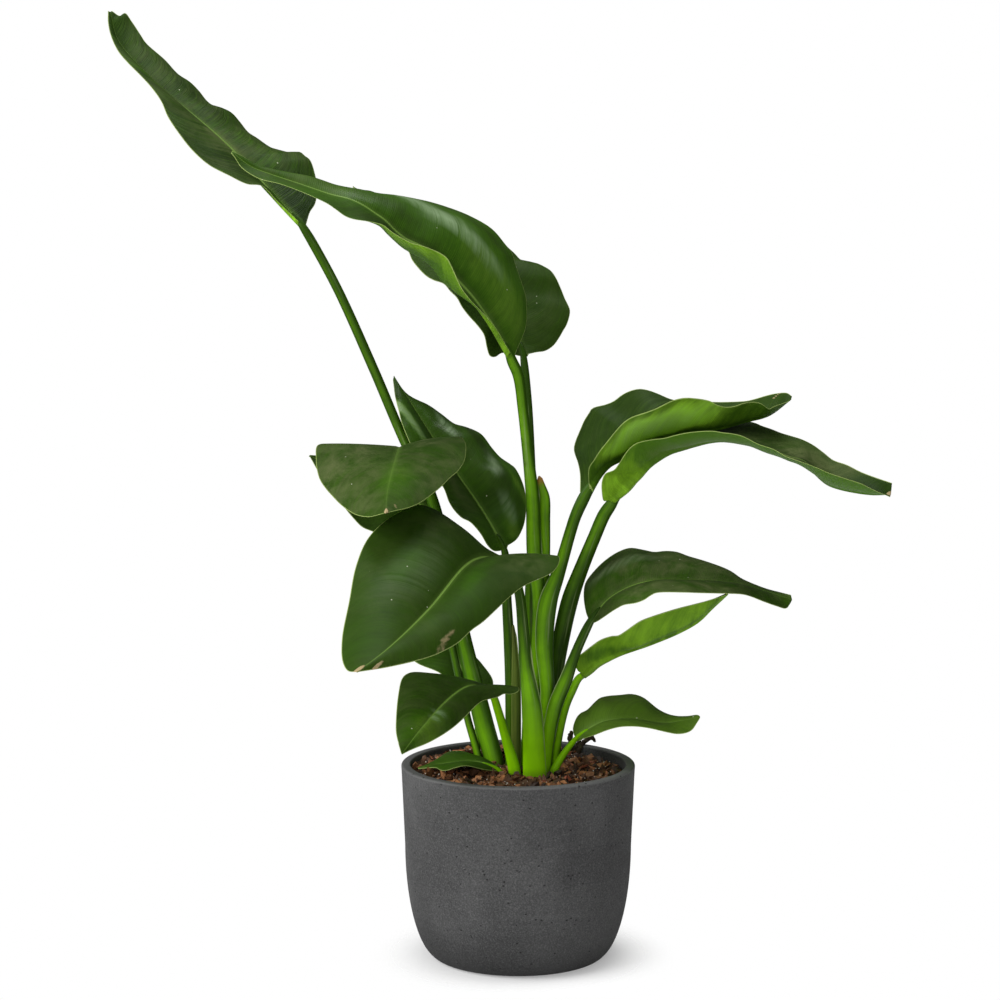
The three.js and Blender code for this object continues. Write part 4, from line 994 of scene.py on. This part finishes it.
def stalk_finish(stalk):
    """Smooth ribbed stalks, bright near the soil, with pale sheath margins, and painted shade
    toward each stalk's right side and edges.
    """
    finish = Finish("stalk", Specular_IOR_Level=0.08, Coat_Roughness=0.24, Coat_IOR=1.45)
    tone, height, wide, rim, dry = finish.numbers("tone", "height", "wide", "rim", "dry")
    cloud = finish.noise(finish.position(), 34.0, detail=3.0)
    lines = round_noise(finish, 1.3, 0.006, 3.0, 0.65)
    ribs = round_noise(finish, 2.4, 0.004, 1.0)
    # painted shade: darker toward each stalk's right side and both its edges, more on darker
    # stalks; old darkens the right side further
    right = wide * 0.5 + 0.5
    sides = (right**3 * 0.45 + wide**4 * 0.4 + wide**2 * 0.25) * (tone * 0.6 + 0.4)
    depth = tone + (cloud - 0.5) * 0.5 + (lines - 0.5) * 0.8 + sides - 0.22
    old = (tone + right * 0.2).between(0.85, 1.2)
    root = 1 - height.between(0.0, 9.0)
    blemish = round_noise(finish, 0.5, 0.05, 4.0).between(0.66, 0.74)
    finish.feed("Base Color", finish.mix(
        stalk.bright,
        (depth.clamped(), stalk.deep),
        (old * 0.75, stalk.dark),
        (lines.between(0.58, 0.74) * 0.22, stalk.wing),
        (root * 0.35, stalk.dead),
        (blemish * 0.35, stalk.dead),
        (rim * 0.85, stalk.wing),
        (dry * 0.85, stalk.tip)))
    finish.feed("Roughness", 0.34 + cloud * 0.12 + lines * 0.08)
    coat = (cloud * 0.3 + lines * 0.3 - 0.22) * (1 - old * 0.7) * (1 - wide**4) * 0.6
    finish.feed("Coat Weight", coat.clamped())
    finish.bump(lines * 0.35 + ribs * 0.5, 0.35 * MM)
    return finish.material


def husk_finish(stalk):
    """The dull olive sheath leaf, browned along its edge and at its tip."""
    finish = Finish("husk", Specular_IOR_Level=0.15)
    height, rim = finish.numbers("height", "rim")
    lines = round_noise(finish, 1.4, 0.01, 3.0)
    finish.feed("Base Color", finish.mix(
        stalk.husk,
        (lines.between(0.35, 0.7) * 0.6, stalk.dark),
        (height.between(105.0, 150.0) * 0.4, stalk.dead),
        (rim * 0.8, stalk.wing)))
    finish.feed("Roughness", 0.5 + lines * 0.25)
    finish.bump(lines, 0.5 * MM)
    return finish.material


def dead_finish(stalk):
    """Withered ends and dry stubs."""
    finish = Finish("withered", IOR=1.4)
    fibre = finish.noise(finish.position((1.0, 1.0, 0.3)), 500.0, detail=4.0)
    finish.feed("Base Color", finish.mix(
        stalk.dead, (fibre.between(0.45, 0.8) * 0.6, stalk.husk)))
    finish.feed("Roughness", 0.7 + fibre * 0.3)
    finish.bump(fibre, 0.6 * MM)
    return finish.material


def floor_finish(stage):
    """A matte white floor, darker near the pot, whose edge fades into the white surroundings."""
    finish = Finish("floor", Roughness=0.9, Specular_IOR_Level=0.2,
                    Emission_Color=(1.0, 1.0, 1.0, 1.0), Emission_Strength=stage.glow)
    away = Signal(finish, finish.node("ShaderNodeVectorMath", {"operation": "LENGTH"},
                                      {0: finish.position()}).outputs["Value"])
    near = 1 - away.between(POT_FOOT_RADIUS * MM, stage.shade_reach)
    finish.feed("Base Color", finish.mix(stage.floor, (near * stage.shade, (0.0, 0.0, 0.0))))
    seen = Signal(finish, finish.node("ShaderNodeLightPath").outputs["Is Camera Ray"])
    clear = finish.node("ShaderNodeBsdfTransparent").outputs["BSDF"]
    gone = away.between(stage.shade_reach * 0.42, stage.shade_reach) * seen
    blend = finish.node("ShaderNodeMixShader", inputs={
        0: gone, 1: finish.shader.outputs["BSDF"], 2: clear})
    finish.plug(finish.tree.nodes["Material Output"].inputs["Surface"], blend.outputs["Shader"])
    return finish.material


# ------------------------------------------------------------------ pot and soil


def foot_corner(foot_radius, wall_radius, bottom, top, steps):
    """The quarter of an ellipse from the foot to the wall, as (radius, height)."""
    turn = np.linspace(0, math.pi / 2, steps + 1)
    return list(zip(foot_radius + (wall_radius - foot_radius) * np.sin(turn),
                    top - (top - bottom) * np.cos(turn)))


def turned(profile, sides):
    """A closed body turned round Z from a profile that starts and ends on the axis."""
    radius, height = np.array(profile[1:-1], float).T
    turn = round_steps(sides)
    points = np.stack([radius[:, None] * np.cos(turn), radius[:, None] * np.sin(turn),
                       np.repeat(height[:, None], sides, 1)], -1).reshape(-1, 3)
    points = np.vstack([points, [0, 0, profile[0][1]], [0, 0, profile[-1][1]]])
    low, high = len(points) - 2, len(points) - 1
    last = (len(radius) - 1) * sides
    faces = grid_faces(len(radius), sides, closed=True).tolist()
    for k in range(sides):
        following = (k + 1) % sides
        faces.append([low, following, k])
        faces.append([high, last + k, last + following])
    return points, faces


def wall_radius(height):
    """The outer radius of the leaning wall above the shoulder."""
    t = (height - POT_SHOULDER_HEIGHT) / (POT_HEIGHT - POT_SHOULDER_HEIGHT)
    return POT_SHOULDER_RADIUS + t * (POT_RIM_RADIUS - POT_SHOULDER_RADIUS)


def pot_profile(lip):
    """Outside from the foot up, over the lip, and down the inside to the floor."""
    corner_steps, wall_steps, lip_steps, inner_wall_steps, inner_corner_steps = 26, 14, 8, 8, 10
    sole_round, sole_rise = 3.0, 0.9
    inner_lip_share = 0.6
    sole = [(POT_FOOT_RADIUS - sole_round + sole_round * math.sin(a),
             sole_rise * (1 - math.cos(a))) for a in np.linspace(0, math.pi / 2, 5)]
    corner = foot_corner(POT_FOOT_RADIUS, POT_SHOULDER_RADIUS, 0, POT_SHOULDER_HEIGHT, corner_steps)
    corner = [(r, z) for r, z in corner if z > 1.0]
    wall = [(wall_radius(z), z) for z in
            np.linspace(POT_SHOULDER_HEIGHT, POT_HEIGHT - lip, wall_steps)[1:-1]]
    turn = np.linspace(0, math.pi / 2, lip_steps)
    outer_lip = [(POT_RIM_RADIUS - lip + lip * math.cos(a), POT_HEIGHT - lip + lip * math.sin(a))
                 for a in turn]
    inner = POT_RIM_RADIUS - POT_WALL
    small = lip * inner_lip_share
    inner_lip = [(inner + small - small * math.sin(a), POT_HEIGHT - small + small * math.cos(a))
                 for a in turn]
    down = [(wall_radius(z) - POT_WALL, z) for z in
            np.linspace(POT_HEIGHT - 2 * lip, POT_SHOULDER_HEIGHT, inner_wall_steps)]
    inside = foot_corner(POT_FOOT_RADIUS - POT_WALL, POT_SHOULDER_RADIUS - POT_WALL, POT_FLOOR,
                         POT_SHOULDER_HEIGHT, inner_corner_steps)[::-1][1:]
    return [(0, 0), *sole, *corner, *wall, *outer_lip, *inner_lip, *down, *inside, (0, POT_FLOOR)]


def soil_height(x, y):
    """The soil's mean surface, lower in the middle and heaped up toward the back left."""
    reach = np.hypot(x, y) / SOIL_RADIUS
    heap = SOIL_HEAP * eased(*HEAP_RUN, 0.8 * y - 0.6 * x)
    return SOIL_LEVEL - SOIL_DIP * (1 - reach**2) + heap


def soil_bed(random, rings=56, sides=180):
    """The rough fine mix under the chips, closed by a skirt and a flat underside."""
    reach = (np.arange(rings) + 1)[:, None] / rings * SOIL_RADIUS
    turn = round_steps(sides)
    x, y = reach * np.cos(turn), reach * np.sin(turn)
    rough = random.normal(size=(rings, sides))
    rough = smoothed(rough, 0.8) + smoothed(rough.T, 0.8).T
    rough[-1] = 0
    bed = np.stack([x, y, soil_height(x, y) - BED_DROP + BED_ROUGH * rough], -1)[::-1]
    skirt = bed[0].copy()
    skirt[:, 2] = SOIL_LEVEL - SOIL_SKIRT
    points = np.vstack([skirt, bed.reshape(-1, 3), [[0, 0, soil_height(0, 0) - BED_DROP]]])
    last = rings * sides
    faces = grid_faces(rings + 1, sides, closed=True).tolist()
    faces += [[last + k, last + (k + 1) % sides, len(points) - 1] for k in range(sides)]
    faces.append(list(range(sides))[::-1])
    return points, faces


def stalk_feet():
    """Where each stalk meets the soil, as (x, y, half its width)."""
    stalks = [entry["stalk"] for entry in (*LEAVES.values(), *SHOOTS.values())]
    return [(*place(rows[:1])[0][:2], rows[0][3] / 2) for rows in stalks]


def lumps(random, count, sides):
    """A few rough convex lumps inside a unit ball, each as (points, triangles)."""
    least = 0.75
    made = []
    for _ in range(count):
        bm = bmesh.new()
        for p in unit(random.normal(size=(sides, 3))):
            bm.verts.new(p * random.uniform(least, 1.0))
        hull = bmesh.ops.convex_hull(bm, input=bm.verts)
        bmesh.ops.delete(bm, geom=[g for g in hull["geom_interior"]], context="VERTS")
        bm.verts.index_update()
        points = np.array([v.co for v in bm.verts])
        faces = np.array([[v.index for v in f.verts] for f in bm.faces if len(f.verts) == 3])
        bm.free()
        made.append((points, faces))
    return made


def turned_about(yaw, pitch, roll):
    """A rotation matrix from three angles."""
    cz, sz, cy, sy, cx, sx = (f(a) for a in (yaw, pitch, roll) for f in (math.cos, math.sin))
    about_z = np.array([[cz, -sz, 0], [sz, cz, 0], [0, 0, 1]])
    about_y = np.array([[cy, 0, sy], [0, 1, 0], [-sy, 0, cy]])
    about_x = np.array([[1, 0, 0], [0, cx, -sx], [0, sx, cx]])
    return about_z @ about_y @ about_x


def scattered(random, count, shapes, size_of, tilt, sunk, clear):
    """Lumps strewn over the soil, clear of the stalks: points, faces and each lump's own hue.

    sunk is the least and the most that a lump's middle stands above the soil, in its heights.
    """
    rim_gap = 3.0
    feet = stalk_feet()
    points, faces, hues = [], [], []
    start = 0
    while len(points) < count:
        r = (SOIL_RADIUS - rim_gap) * math.sqrt(random.uniform())
        a = random.uniform(0, 2 * math.pi)
        x, y = r * math.cos(a), r * math.sin(a)
        size = size_of()
        if any(math.hypot(x - fx, y - fy) < half + clear for fx, fy, half in feet):
            continue
        lump, triangles = shapes[random.integers(len(shapes))]
        spin = turned_about(random.uniform(0, 2 * math.pi), random.normal() * tilt,
                            random.normal() * tilt)
        body = (lump * size / 2) @ spin.T
        if np.hypot(x + body[:, 0], y + body[:, 1]).max() > SOIL_RADIUS:
            continue
        body += [x, y, soil_height(x, y) + size[2] * random.uniform(*sunk)]
        points.append(body)
        faces.append(triangles + start)
        hues.append(np.full(len(body), random.uniform()))
        start += len(body)
    return np.vstack(points), np.vstack(faces), {"hue": np.concatenate(hues)}


# ------------------------------------------------------------------ stalks and blades

# Where a stalk thins out under its blade, along the rib, and to which shares of its end.
KEEL_RUN = (5.0, 16.0)
KEEL_WIDTH, KEEL_DEPTH = (0.72, 0.2), (0.7, 0.2)
DRY_TIP = (0.965, 0.99)  # where a stalk without a blade turns brown, as shares of its length
SHOULDER = 0.9  # below 1 for rather square shoulders, as a channelled stalk has

# Shares of a half blade from its rib, closer together at the rib and the margin.
HALF = np.array([0.025, 0.06, 0.11, 0.18, 0.27, 0.37, 0.47, 0.57, 0.67, 0.76, 0.84, 0.905, 0.95,
                 0.98, 1.0])
SIDES = np.concatenate([-HALF[::-1], [0.0], HALF])  # right margin, rib, left margin
REACH, SIGN = np.abs(SIDES), np.sign(SIDES)

ROW_GAP = 2.2  # between the rows of a blade's net
ROWS = (50, 170)  # the fewest and the most of them
ROW_EVEN = 0.65  # 1 for rows as far apart at both ends as in the middle
FULL_RIPPLE = 30.0  # half width from which a margin ripples in full
FIRM_SPAN = 6.0  # width from which the net alone says which way the blade faces
BUCKLES = 5
BUCKLE_HEIGHT = 0.22
BUCKLE_PITCH = (14, 45)
VEIN_SLANT, VEIN_CURL = 0.45, 0.5  # how veins lean toward the tip, evenly and at the margin
TIP_KEEL = (0.7, 0.35)  # half width and depth of the keel at the tip
KEEL_SHARE = 0.62  # its depth at the stalk, of the stalk's
GROOVE_DEPTH = 0.9
VEIN_SHIFT = 37.0  # sets the streaks of one blade apart from those of the next


def sheath_margin(wing, turn, s, half_width):
    """How plainly a stalk's thin margin shows, and how much further out the skin runs there."""
    fade_in, fade_out = 0.12, 0.05  # shares of the stalk
    pale_turn, raised_turn = 0.42, 0.2  # radians to either side
    sunk = 0.35  # how much of the stalk's half width the margin gives up
    side, low, high, width = wing
    at = 0.0 if side == "right" else math.pi
    apart = np.abs((turn - at + math.pi) % (2 * math.pi) - math.pi)
    grown = (eased(low - fade_in, low, s) * (1 - eased(high - fade_out, high, s)))[:, None]
    rim = grown * np.exp(-(apart / pale_turn) ** 4)
    return rim, 1 + grown * np.exp(-(apart / raised_turn) ** 2) * (width / half_width - sunk)


def stalk_skin(rows, step, sides, tones, wing=None, rib=None):
    """The skin of a tapering oval stalk, as points, faces and the numbers its finish reads."""
    rows = [rows[0], *rows]
    points = place(rows)
    points[0, 2] -= BURIED
    sizes = [row[3:] for row in rows]
    if rib:
        # runs on as the keel of the blade, and thins out there
        joint = Curve(place(rib))
        points = np.vstack([points, joint.at(np.array(KEEL_RUN) / joint.length)])
        width, depth = sizes[-1]
        sizes += [[width * a, depth * b] for a, b in zip(KEEL_WIDTH, KEEL_DEPTH)]
    curve = Curve(points)
    count = max(8, int(curve.length / step)) + 1
    s = np.linspace(0, 1, count)
    half = np.stack([np.interp(s, curve.knots, size) for size in np.array(sizes).T / 2], -1)
    half[1:-1] = smoothed(half, 3.0)[1:-1]
    centre, along = curve.at(s), curve.heading(s)
    wide = unit(np.cross([0.0, 1.0, 0.0], along))
    deep = unit(np.cross(along, wide))
    turn = round_steps(sides)
    x, y = (np.sign(part) * np.abs(part) ** SHOULDER for part in (np.cos(turn), np.sin(turn)))
    rim, reach = sheath_margin(wing, turn, s, half[:, :1]) if wing else (0.0, 1.0)
    ring = (centre[:, None] + wide[:, None] * (half[:, :1] * x * reach)[..., None]
            + deep[:, None] * (half[:, 1:] * y)[..., None])
    height = (s * curve.length - BURIED)[:, None]
    climb = np.clip(height / (height[-1] + 1e-6), 0, 1) ** 0.7
    dry = np.zeros_like(height) if rib else eased(*DRY_TIP, s)[:, None]
    foot_tone, top_tone = tones
    numbers = {"height": height, "rim": rim, "dry": dry,
               "tone": foot_tone + (top_tone - foot_tone) * climb,
               "wide": np.cos(turn), "deep": np.sin(turn)}
    faces = [*grid_faces(count, sides, closed=True).tolist(), list(range(sides))[::-1],
             list(range((count - 1) * sides, count * sides))]
    return ring.reshape(-1, 3), faces, {
        key: np.broadcast_to(values, (count, sides)).ravel() for key, values in numbers.items()}


def blade_ripple(number, leaf, s, out, vein):
    """How far a blade stands off its plain form: ripples of its margins, and slow buckles."""
    random = np.random.default_rng(int(number) * 101 + 7)
    fade = np.sin(math.pi * s)[:, None] ** 0.5
    ripple = np.zeros_like(out)
    for side, (waves, high) in zip((1, -1), leaf["wave"]):
        phase = random.uniform(0, 2 * math.pi)
        swing = (np.sin(2 * math.pi * waves * s + phase)
                 + 0.35 * np.sin(2 * math.pi * waves * 2.3 * s + 2.1 * phase))
        ripple += (SIGN == side) * high * swing[:, None] * REACH**2.2 * fade
    high = BUCKLE_HEIGHT * leaf.get("buckle", 1.0)
    for _ in range(BUCKLES):
        pitch = random.uniform(*BUCKLE_PITCH)
        drift, phase = random.uniform(-0.02, 0.02), random.uniform(0, 2 * math.pi)
        ripple += high * np.sin(2 * math.pi * vein / pitch + drift * out + phase) * (
            REACH * (1.25 - REACH))
    return ripple


def shell_faces(rows, columns):
    """Quads of a closed shell: an upper net, a lower net of as many points, and its four edges."""
    size = rows * columns
    faces = [grid_faces(rows, columns, flip=True), grid_faces(rows, columns, start=size)]
    down, across = np.arange(rows - 1) * columns, np.arange(columns - 1)
    for a, step, flip in ((down, columns, True), (down + columns - 1, columns, False),
                          (across, 1, False), (across + size - columns, 1, True)):
        strip = np.stack([a, a + step, a + step + size, a + size], -1)
        faces.append(strip[:, ::-1] if flip else strip)
    return np.vstack(faces)


def blade_numbers(number, leaf, s, half, vein, slim):
    """What the finish reads at each point of a blade, its upper side first."""
    out = half * REACH
    across = out * SIGN
    marks = {key: leaf.get(key, 0.0) + 0.0 * out
             for key in ("tone", "dust", "gloss", "wax", "scar")}
    for what, where, side, long, wide, strength in BLOTCHES.get(number, ()):
        row = np.argmin(np.abs(s - where))
        column = np.argmin(np.abs(SIDES - side))
        gap = np.hypot((vein - vein[row, column]) / long,
                       (across - across[row, column]) / wide)
        marks[what] = marks[what] + strength * (1 - eased(0.25, 1.3, gap))
    rib_line = 0.35 + 1.25 * slim
    layers = {"slim": slim, "midrib": leaf.get("midrib", 1.0), "patchy": leaf.get("patchy", 1.0),
              "rib": out / rib_line, "edge": half * (1 - REACH),
              "vein": vein + VEIN_SHIFT * int(number), "out": across, **marks}
    numbers = {key: np.tile(np.broadcast_to(layer, out.shape).ravel(), 2)
               for key, layer in layers.items()}
    # painted light: inside lightens the upper side where it lies in shade
    numbers["tone"][:out.size] += leaf.get("inside", 0.0)
    numbers["under"] = np.repeat([0.0, 1.0], out.size)
    return numbers


def blade_skin(number, leaf, thickness):
    """The skin of one blade, as points, faces and the numbers its finish reads."""
    rib, left, right = (Curve(place(leaf[key])) for key in ("rib", "left", "right"))
    count = int(np.clip(rib.length / ROW_GAP, *ROWS)) + 1
    even = np.linspace(0, 1, count)
    s = ROW_EVEN * even + (1 - ROW_EVEN) * (1 - np.cos(math.pi * even)) / 2
    middle, along, left_edge, right_edge = rib.at(s), rib.heading(s), left.at(s), right.at(s)
    across = left_edge - right_edge
    upward = unit(smoothed(np.cross(along, across), 2.5))
    edge = np.where((SIDES < 0)[:, None], right_edge[:, None], left_edge[:, None])
    half = np.linalg.norm(edge - middle[:, None], axis=-1)
    out = half * REACH
    vein = s[:, None] * rib.length - VEIN_SLANT * out - VEIN_CURL * out * REACH**3
    left_bulge, right_bulge = (
        np.interp(s, np.linspace(0, 1, len(most)), most) if isinstance(most, list)
        else most * np.sin(math.pi * s) for most in leaf["belly"])
    lift = np.where(SIDES < 0, right_bulge[:, None], left_bulge[:, None]) * 4 * REACH * (1 - REACH)
    net = (middle[:, None] + (edge - middle[:, None]) * REACH[:, None]
           + upward[:, None] * lift[..., None])
    # rippled along the line of sight, so that the outline keeps to the table
    sight = unit(EYE - net)
    toward = np.sign((sight * upward[:, None]).sum(-1))
    broad = np.clip(half / FULL_RIPPLE, 0, 1)
    net = net + sight * (blade_ripple(number, leaf, s, out, vein) * broad * toward)[..., None]
    # facing, taken from the plain form where the net is too narrow to tell
    facing = np.cross(np.gradient(net, axis=0), np.gradient(net, axis=1))
    firm = np.clip(np.linalg.norm(across, axis=1) / FIRM_SPAN, 0.0, 1.0)[:, None, None]
    facing = unit(unit(facing) * firm + upward[:, None] * (1 - firm + 0.02))
    # a sunk rib above and a keel below, both fading to the tip
    slim = ((1 - s) ** 0.7)[:, None]
    foot_width, foot_depth = leaf["stalk"][-1][3] / 2, leaf["stalk"][-1][4] * KEEL_SHARE
    tip_width, tip_depth = TIP_KEEL
    keel_width = tip_width + (foot_width - tip_width) * slim
    keel_depth = tip_depth + (foot_depth - tip_depth) * slim
    groove = GROOVE_DEPTH * slim * np.exp(-((out / (keel_width * 0.75)) ** 2))
    keel = keel_depth * np.sqrt(np.clip(1 - (out / keel_width) ** 2, 0, 1))
    wall = thickness * (1 - 0.5 * REACH**2)
    upper = net + facing * (wall / 2 - groove)[..., None]
    lower = net - facing * (wall / 2 + keel + groove * 0.5)[..., None]
    points = np.concatenate([upper.reshape(-1, 3), lower.reshape(-1, 3)])
    return (points, shell_faces(count, len(SIDES)),
            blade_numbers(number, leaf, s, half, vein, slim))


# ------------------------------------------------------------------ stage

SENSOR = 36.0

# where each light hangs and its two sides, in metres, and the point that they all face
LIGHTS = {
    "key": ((-2.25, -1.25, 2.0), (1.9, 1.9)),
    "fill": ((0.2, -3.0, 0.9), (2.6, 1.8)),
    "top": ((0.1, 0.1, 2.7), (1.6, 1.3)),
}
LIT_POINT = Vector((-0.02, 0.0, 0.42))


def set_camera(scene, lens):
    """The camera at the viewer's eye, level from side to side."""
    data = bpy.data.cameras.new("camera")
    data.sensor_width = SENSOR
    data.lens = lens
    scene.camera = bpy.data.objects.new("camera", data)
    scene.camera.location = EYE * MM
    scene.camera.rotation_euler = (math.pi / 2 - TILT, 0.0, 0.0)
    scene.collection.objects.link(scene.camera)


def lay_floor(scene, stage, sides=96):
    """A round floor under the pot's foot."""
    turn = round_steps(sides)
    ring = stage.floor_radius * np.stack([np.cos(turn), np.sin(turn), 0 * turn], -1)
    mesh = bpy.data.meshes.new("floor")
    mesh.from_pydata(ring.tolist(), [], [list(range(sides))])
    mesh.materials.append(floor_finish(stage))
    floor = bpy.data.objects.new("floor", mesh)
    scene.collection.objects.link(floor)


def hang_light(scene, name, watts):
    """One large soft light, facing the plant."""
    where, sides = LIGHTS[name]
    data = bpy.data.lights.new(name, "AREA")
    data.shape = "RECTANGLE"
    data.size, data.size_y = sides
    data.energy = watts
    light = bpy.data.objects.new(name, data)
    light.location = where
    light.rotation_euler = (LIT_POINT - Vector(where)).to_track_quat("-Z", "Y").to_euler()
    scene.collection.objects.link(light)


def surround(scene, ambient):
    """White surroundings that light the plant only faintly."""
    scene.world = bpy.data.worlds.new("surroundings")
    scene.world.use_nodes = True
    tree = scene.world.node_tree
    seen = tree.nodes.new("ShaderNodeLightPath")
    strength = tree.nodes.new("ShaderNodeMapRange")
    strength.inputs["To Min"].default_value = ambient
    strength.inputs["To Max"].default_value = 1.0
    background = tree.nodes["Background"]
    background.inputs["Color"].default_value = (1.0, 1.0, 1.0, 1.0)
    tree.links.new(seen.outputs["Is Camera Ray"], strength.inputs["Value"])
    tree.links.new(strength.outputs["Result"], background.inputs["Strength"])


# ------------------------------------------------------------------ operators


class PLANT_OT_pot(bpy.types.Operator):
    """Turns the cement pot"""

    bl_idname = "plant.pot"
    bl_label = "Pot"

    def execute(self, context):
        pot = context.scene.plant_pot
        skin = turned(pot_profile(pot.lip / MM), pot.sides)
        make_piece("cement_pot", skin, cement_finish(pot), "pot")
        return {"FINISHED"}


class PLANT_OT_soil(bpy.types.Operator):
    """Fills the pot with bark, earth and mineral grains"""

    bl_idname = "plant.soil"
    bl_label = "Soil"

    def execute(self, context):
        soil = context.scene.plant_soil
        random = np.random.default_rng(11)
        make_piece("soil_bed", soil_bed(random), earth_finish(soil), "soil")

        def chip_size():
            longest = soil.chip_length / MM * (0.4 + 0.6 * random.uniform() ** 1.4)
            return longest * np.array([1.0, random.uniform(*CHIP_WIDTH),
                                       random.uniform(*CHIP_DEPTH)])

        def grain_size():
            return soil.grain_width / MM * random.uniform(0.35, 1.0) * GRAIN_SHAPE

        shapes = lumps(random, count=16, sides=9)
        chips = scattered(random, soil.chips, shapes, chip_size, tilt=0.6, sunk=(-0.35, 0.2),
                          clear=1.0)
        make_piece("bark_chips", chips, bark_finish(soil), smooth=False)
        shapes = lumps(random, count=5, sides=16)
        grains = scattered(random, soil.grains, shapes, grain_size, tilt=1.0, sunk=(0.2, 1.3),
                           clear=0.5)
        make_piece("mineral_grains", grains[:2], grain_finish(soil), smooth=False)
        return {"FINISHED"}


class PLANT_OT_stalks(bpy.types.Operator):
    """Raises the fifteen leaf stalks"""

    bl_idname = "plant.stalks"
    bl_label = "Stalks"

    def execute(self, context):
        stalk = context.scene.plant_stalk
        material = stalk_finish(stalk)
        for number, leaf in LEAVES.items():
            skin = stalk_skin(leaf["stalk"], stalk.step / MM, stalk.sides, leaf["stalk_tone"],
                              leaf.get("wing"), leaf["rib"])
            make_piece(f"leaf_stalk_{number}", skin, material, f"stalk_{number}")
        return {"FINISHED"}


class PLANT_OT_shoots(bpy.types.Operator):
    """Adds the rolled young leaf, the sheath leaf and the withered stubs"""

    bl_idname = "plant.shoots"
    bl_label = "Shoots"

    def execute(self, context):
        stalk = context.scene.plant_stalk
        finishes = {"stalk": stalk_finish(stalk), "husk": husk_finish(stalk)}
        for name, shoot in SHOOTS.items():
            skin = stalk_skin(shoot["stalk"], stalk.step / MM, stalk.sides, shoot["stalk_tone"],
                              shoot["wing"])
            make_piece(f"young_{name}", skin, finishes[shoot["slot"]], name)
        material = dead_finish(stalk)
        for number, rows in enumerate(STUBS, 1):
            points, faces, _ = stalk_skin(rows, step=0.8, sides=14, tones=(1.0, 1.0))
            crumpled = 0.45 * np.random.default_rng(number).normal(size=points.shape)
            make_piece(f"withered_stub_{number}", (points + crumpled, faces), material)
        return {"FINISHED"}


class PLANT_OT_blades(bpy.types.Operator):
    """Spreads the fifteen leaf blades"""

    bl_idname = "plant.blades"
    bl_label = "Blades"

    def execute(self, context):
        settings = context.scene.plant_leaf
        material = leaf_finish(settings)
        for number, leaf in LEAVES.items():
            skin = blade_skin(number, leaf, settings.thickness / MM)
            make_piece(f"leaf_blade_{number}", skin, material, f"blade_{number}")
        return {"FINISHED"}


class PLANT_OT_stage(bpy.types.Operator):
    """Sets the floor, the lights and the camera"""

    bl_idname = "plant.stage"
    bl_label = "Stage"

    def execute(self, context):
        stage = context.scene.plant_stage
        context.scene.view_settings.view_transform = "Standard"
        set_camera(context.scene, stage.lens)
        lay_floor(context.scene, stage)
        for name in LIGHTS:
            hang_light(context.scene, name, getattr(stage, name))
        surround(context.scene, stage.ambient)
        return {"FINISHED"}


class PLANT_PT_panel(bpy.types.Panel):
    """Lists the pieces of the plant"""

    bl_idname = "PLANT_PT_panel"
    bl_label = "Potted plant"
    bl_space_type = "VIEW_3D"
    bl_region_type = "UI"
    bl_category = "Plant"

    def draw(self, context):
        for operator, settings in PIECES.items():
            box = self.layout.box()
            box.operator(operator.bl_idname)
            group = getattr(context.scene, settings)
            for name in group.bl_rna.properties.keys():
                if name not in ("rna_type", "name"):
                    box.prop(group, name)


# each operator, and the scene's settings that it reads
PIECES = {
    PLANT_OT_stage: "plant_stage",
    PLANT_OT_pot: "plant_pot",
    PLANT_OT_soil: "plant_soil",
    PLANT_OT_stalks: "plant_stalk",
    PLANT_OT_shoots: "plant_stalk",
    PLANT_OT_blades: "plant_leaf",
}
SETTINGS = {
    "plant_stage": StageSettings,
    "plant_pot": PotSettings,
    "plant_soil": SoilSettings,
    "plant_stalk": StalkSettings,
    "plant_leaf": LeafSettings,
}
CLASSES = (*SETTINGS.values(), *PIECES, PLANT_PT_panel)


def register():
    for kind in CLASSES:
        bpy.utils.register_class(kind)
    for name, group in SETTINGS.items():
        setattr(bpy.types.Scene, name, PointerProperty(type=group))


def unregister():
    for name in SETTINGS:
        delattr(bpy.types.Scene, name)
    for kind in reversed(CLASSES):
        bpy.utils.unregister_class(kind)


def main():
    register()
    bpy.ops.plant.stage()
    bpy.ops.plant.pot()
    bpy.ops.plant.soil()
    bpy.ops.plant.stalks()
    bpy.ops.plant.shoots()
    bpy.ops.plant.blades()


if __name__ == "__main__":
    main()
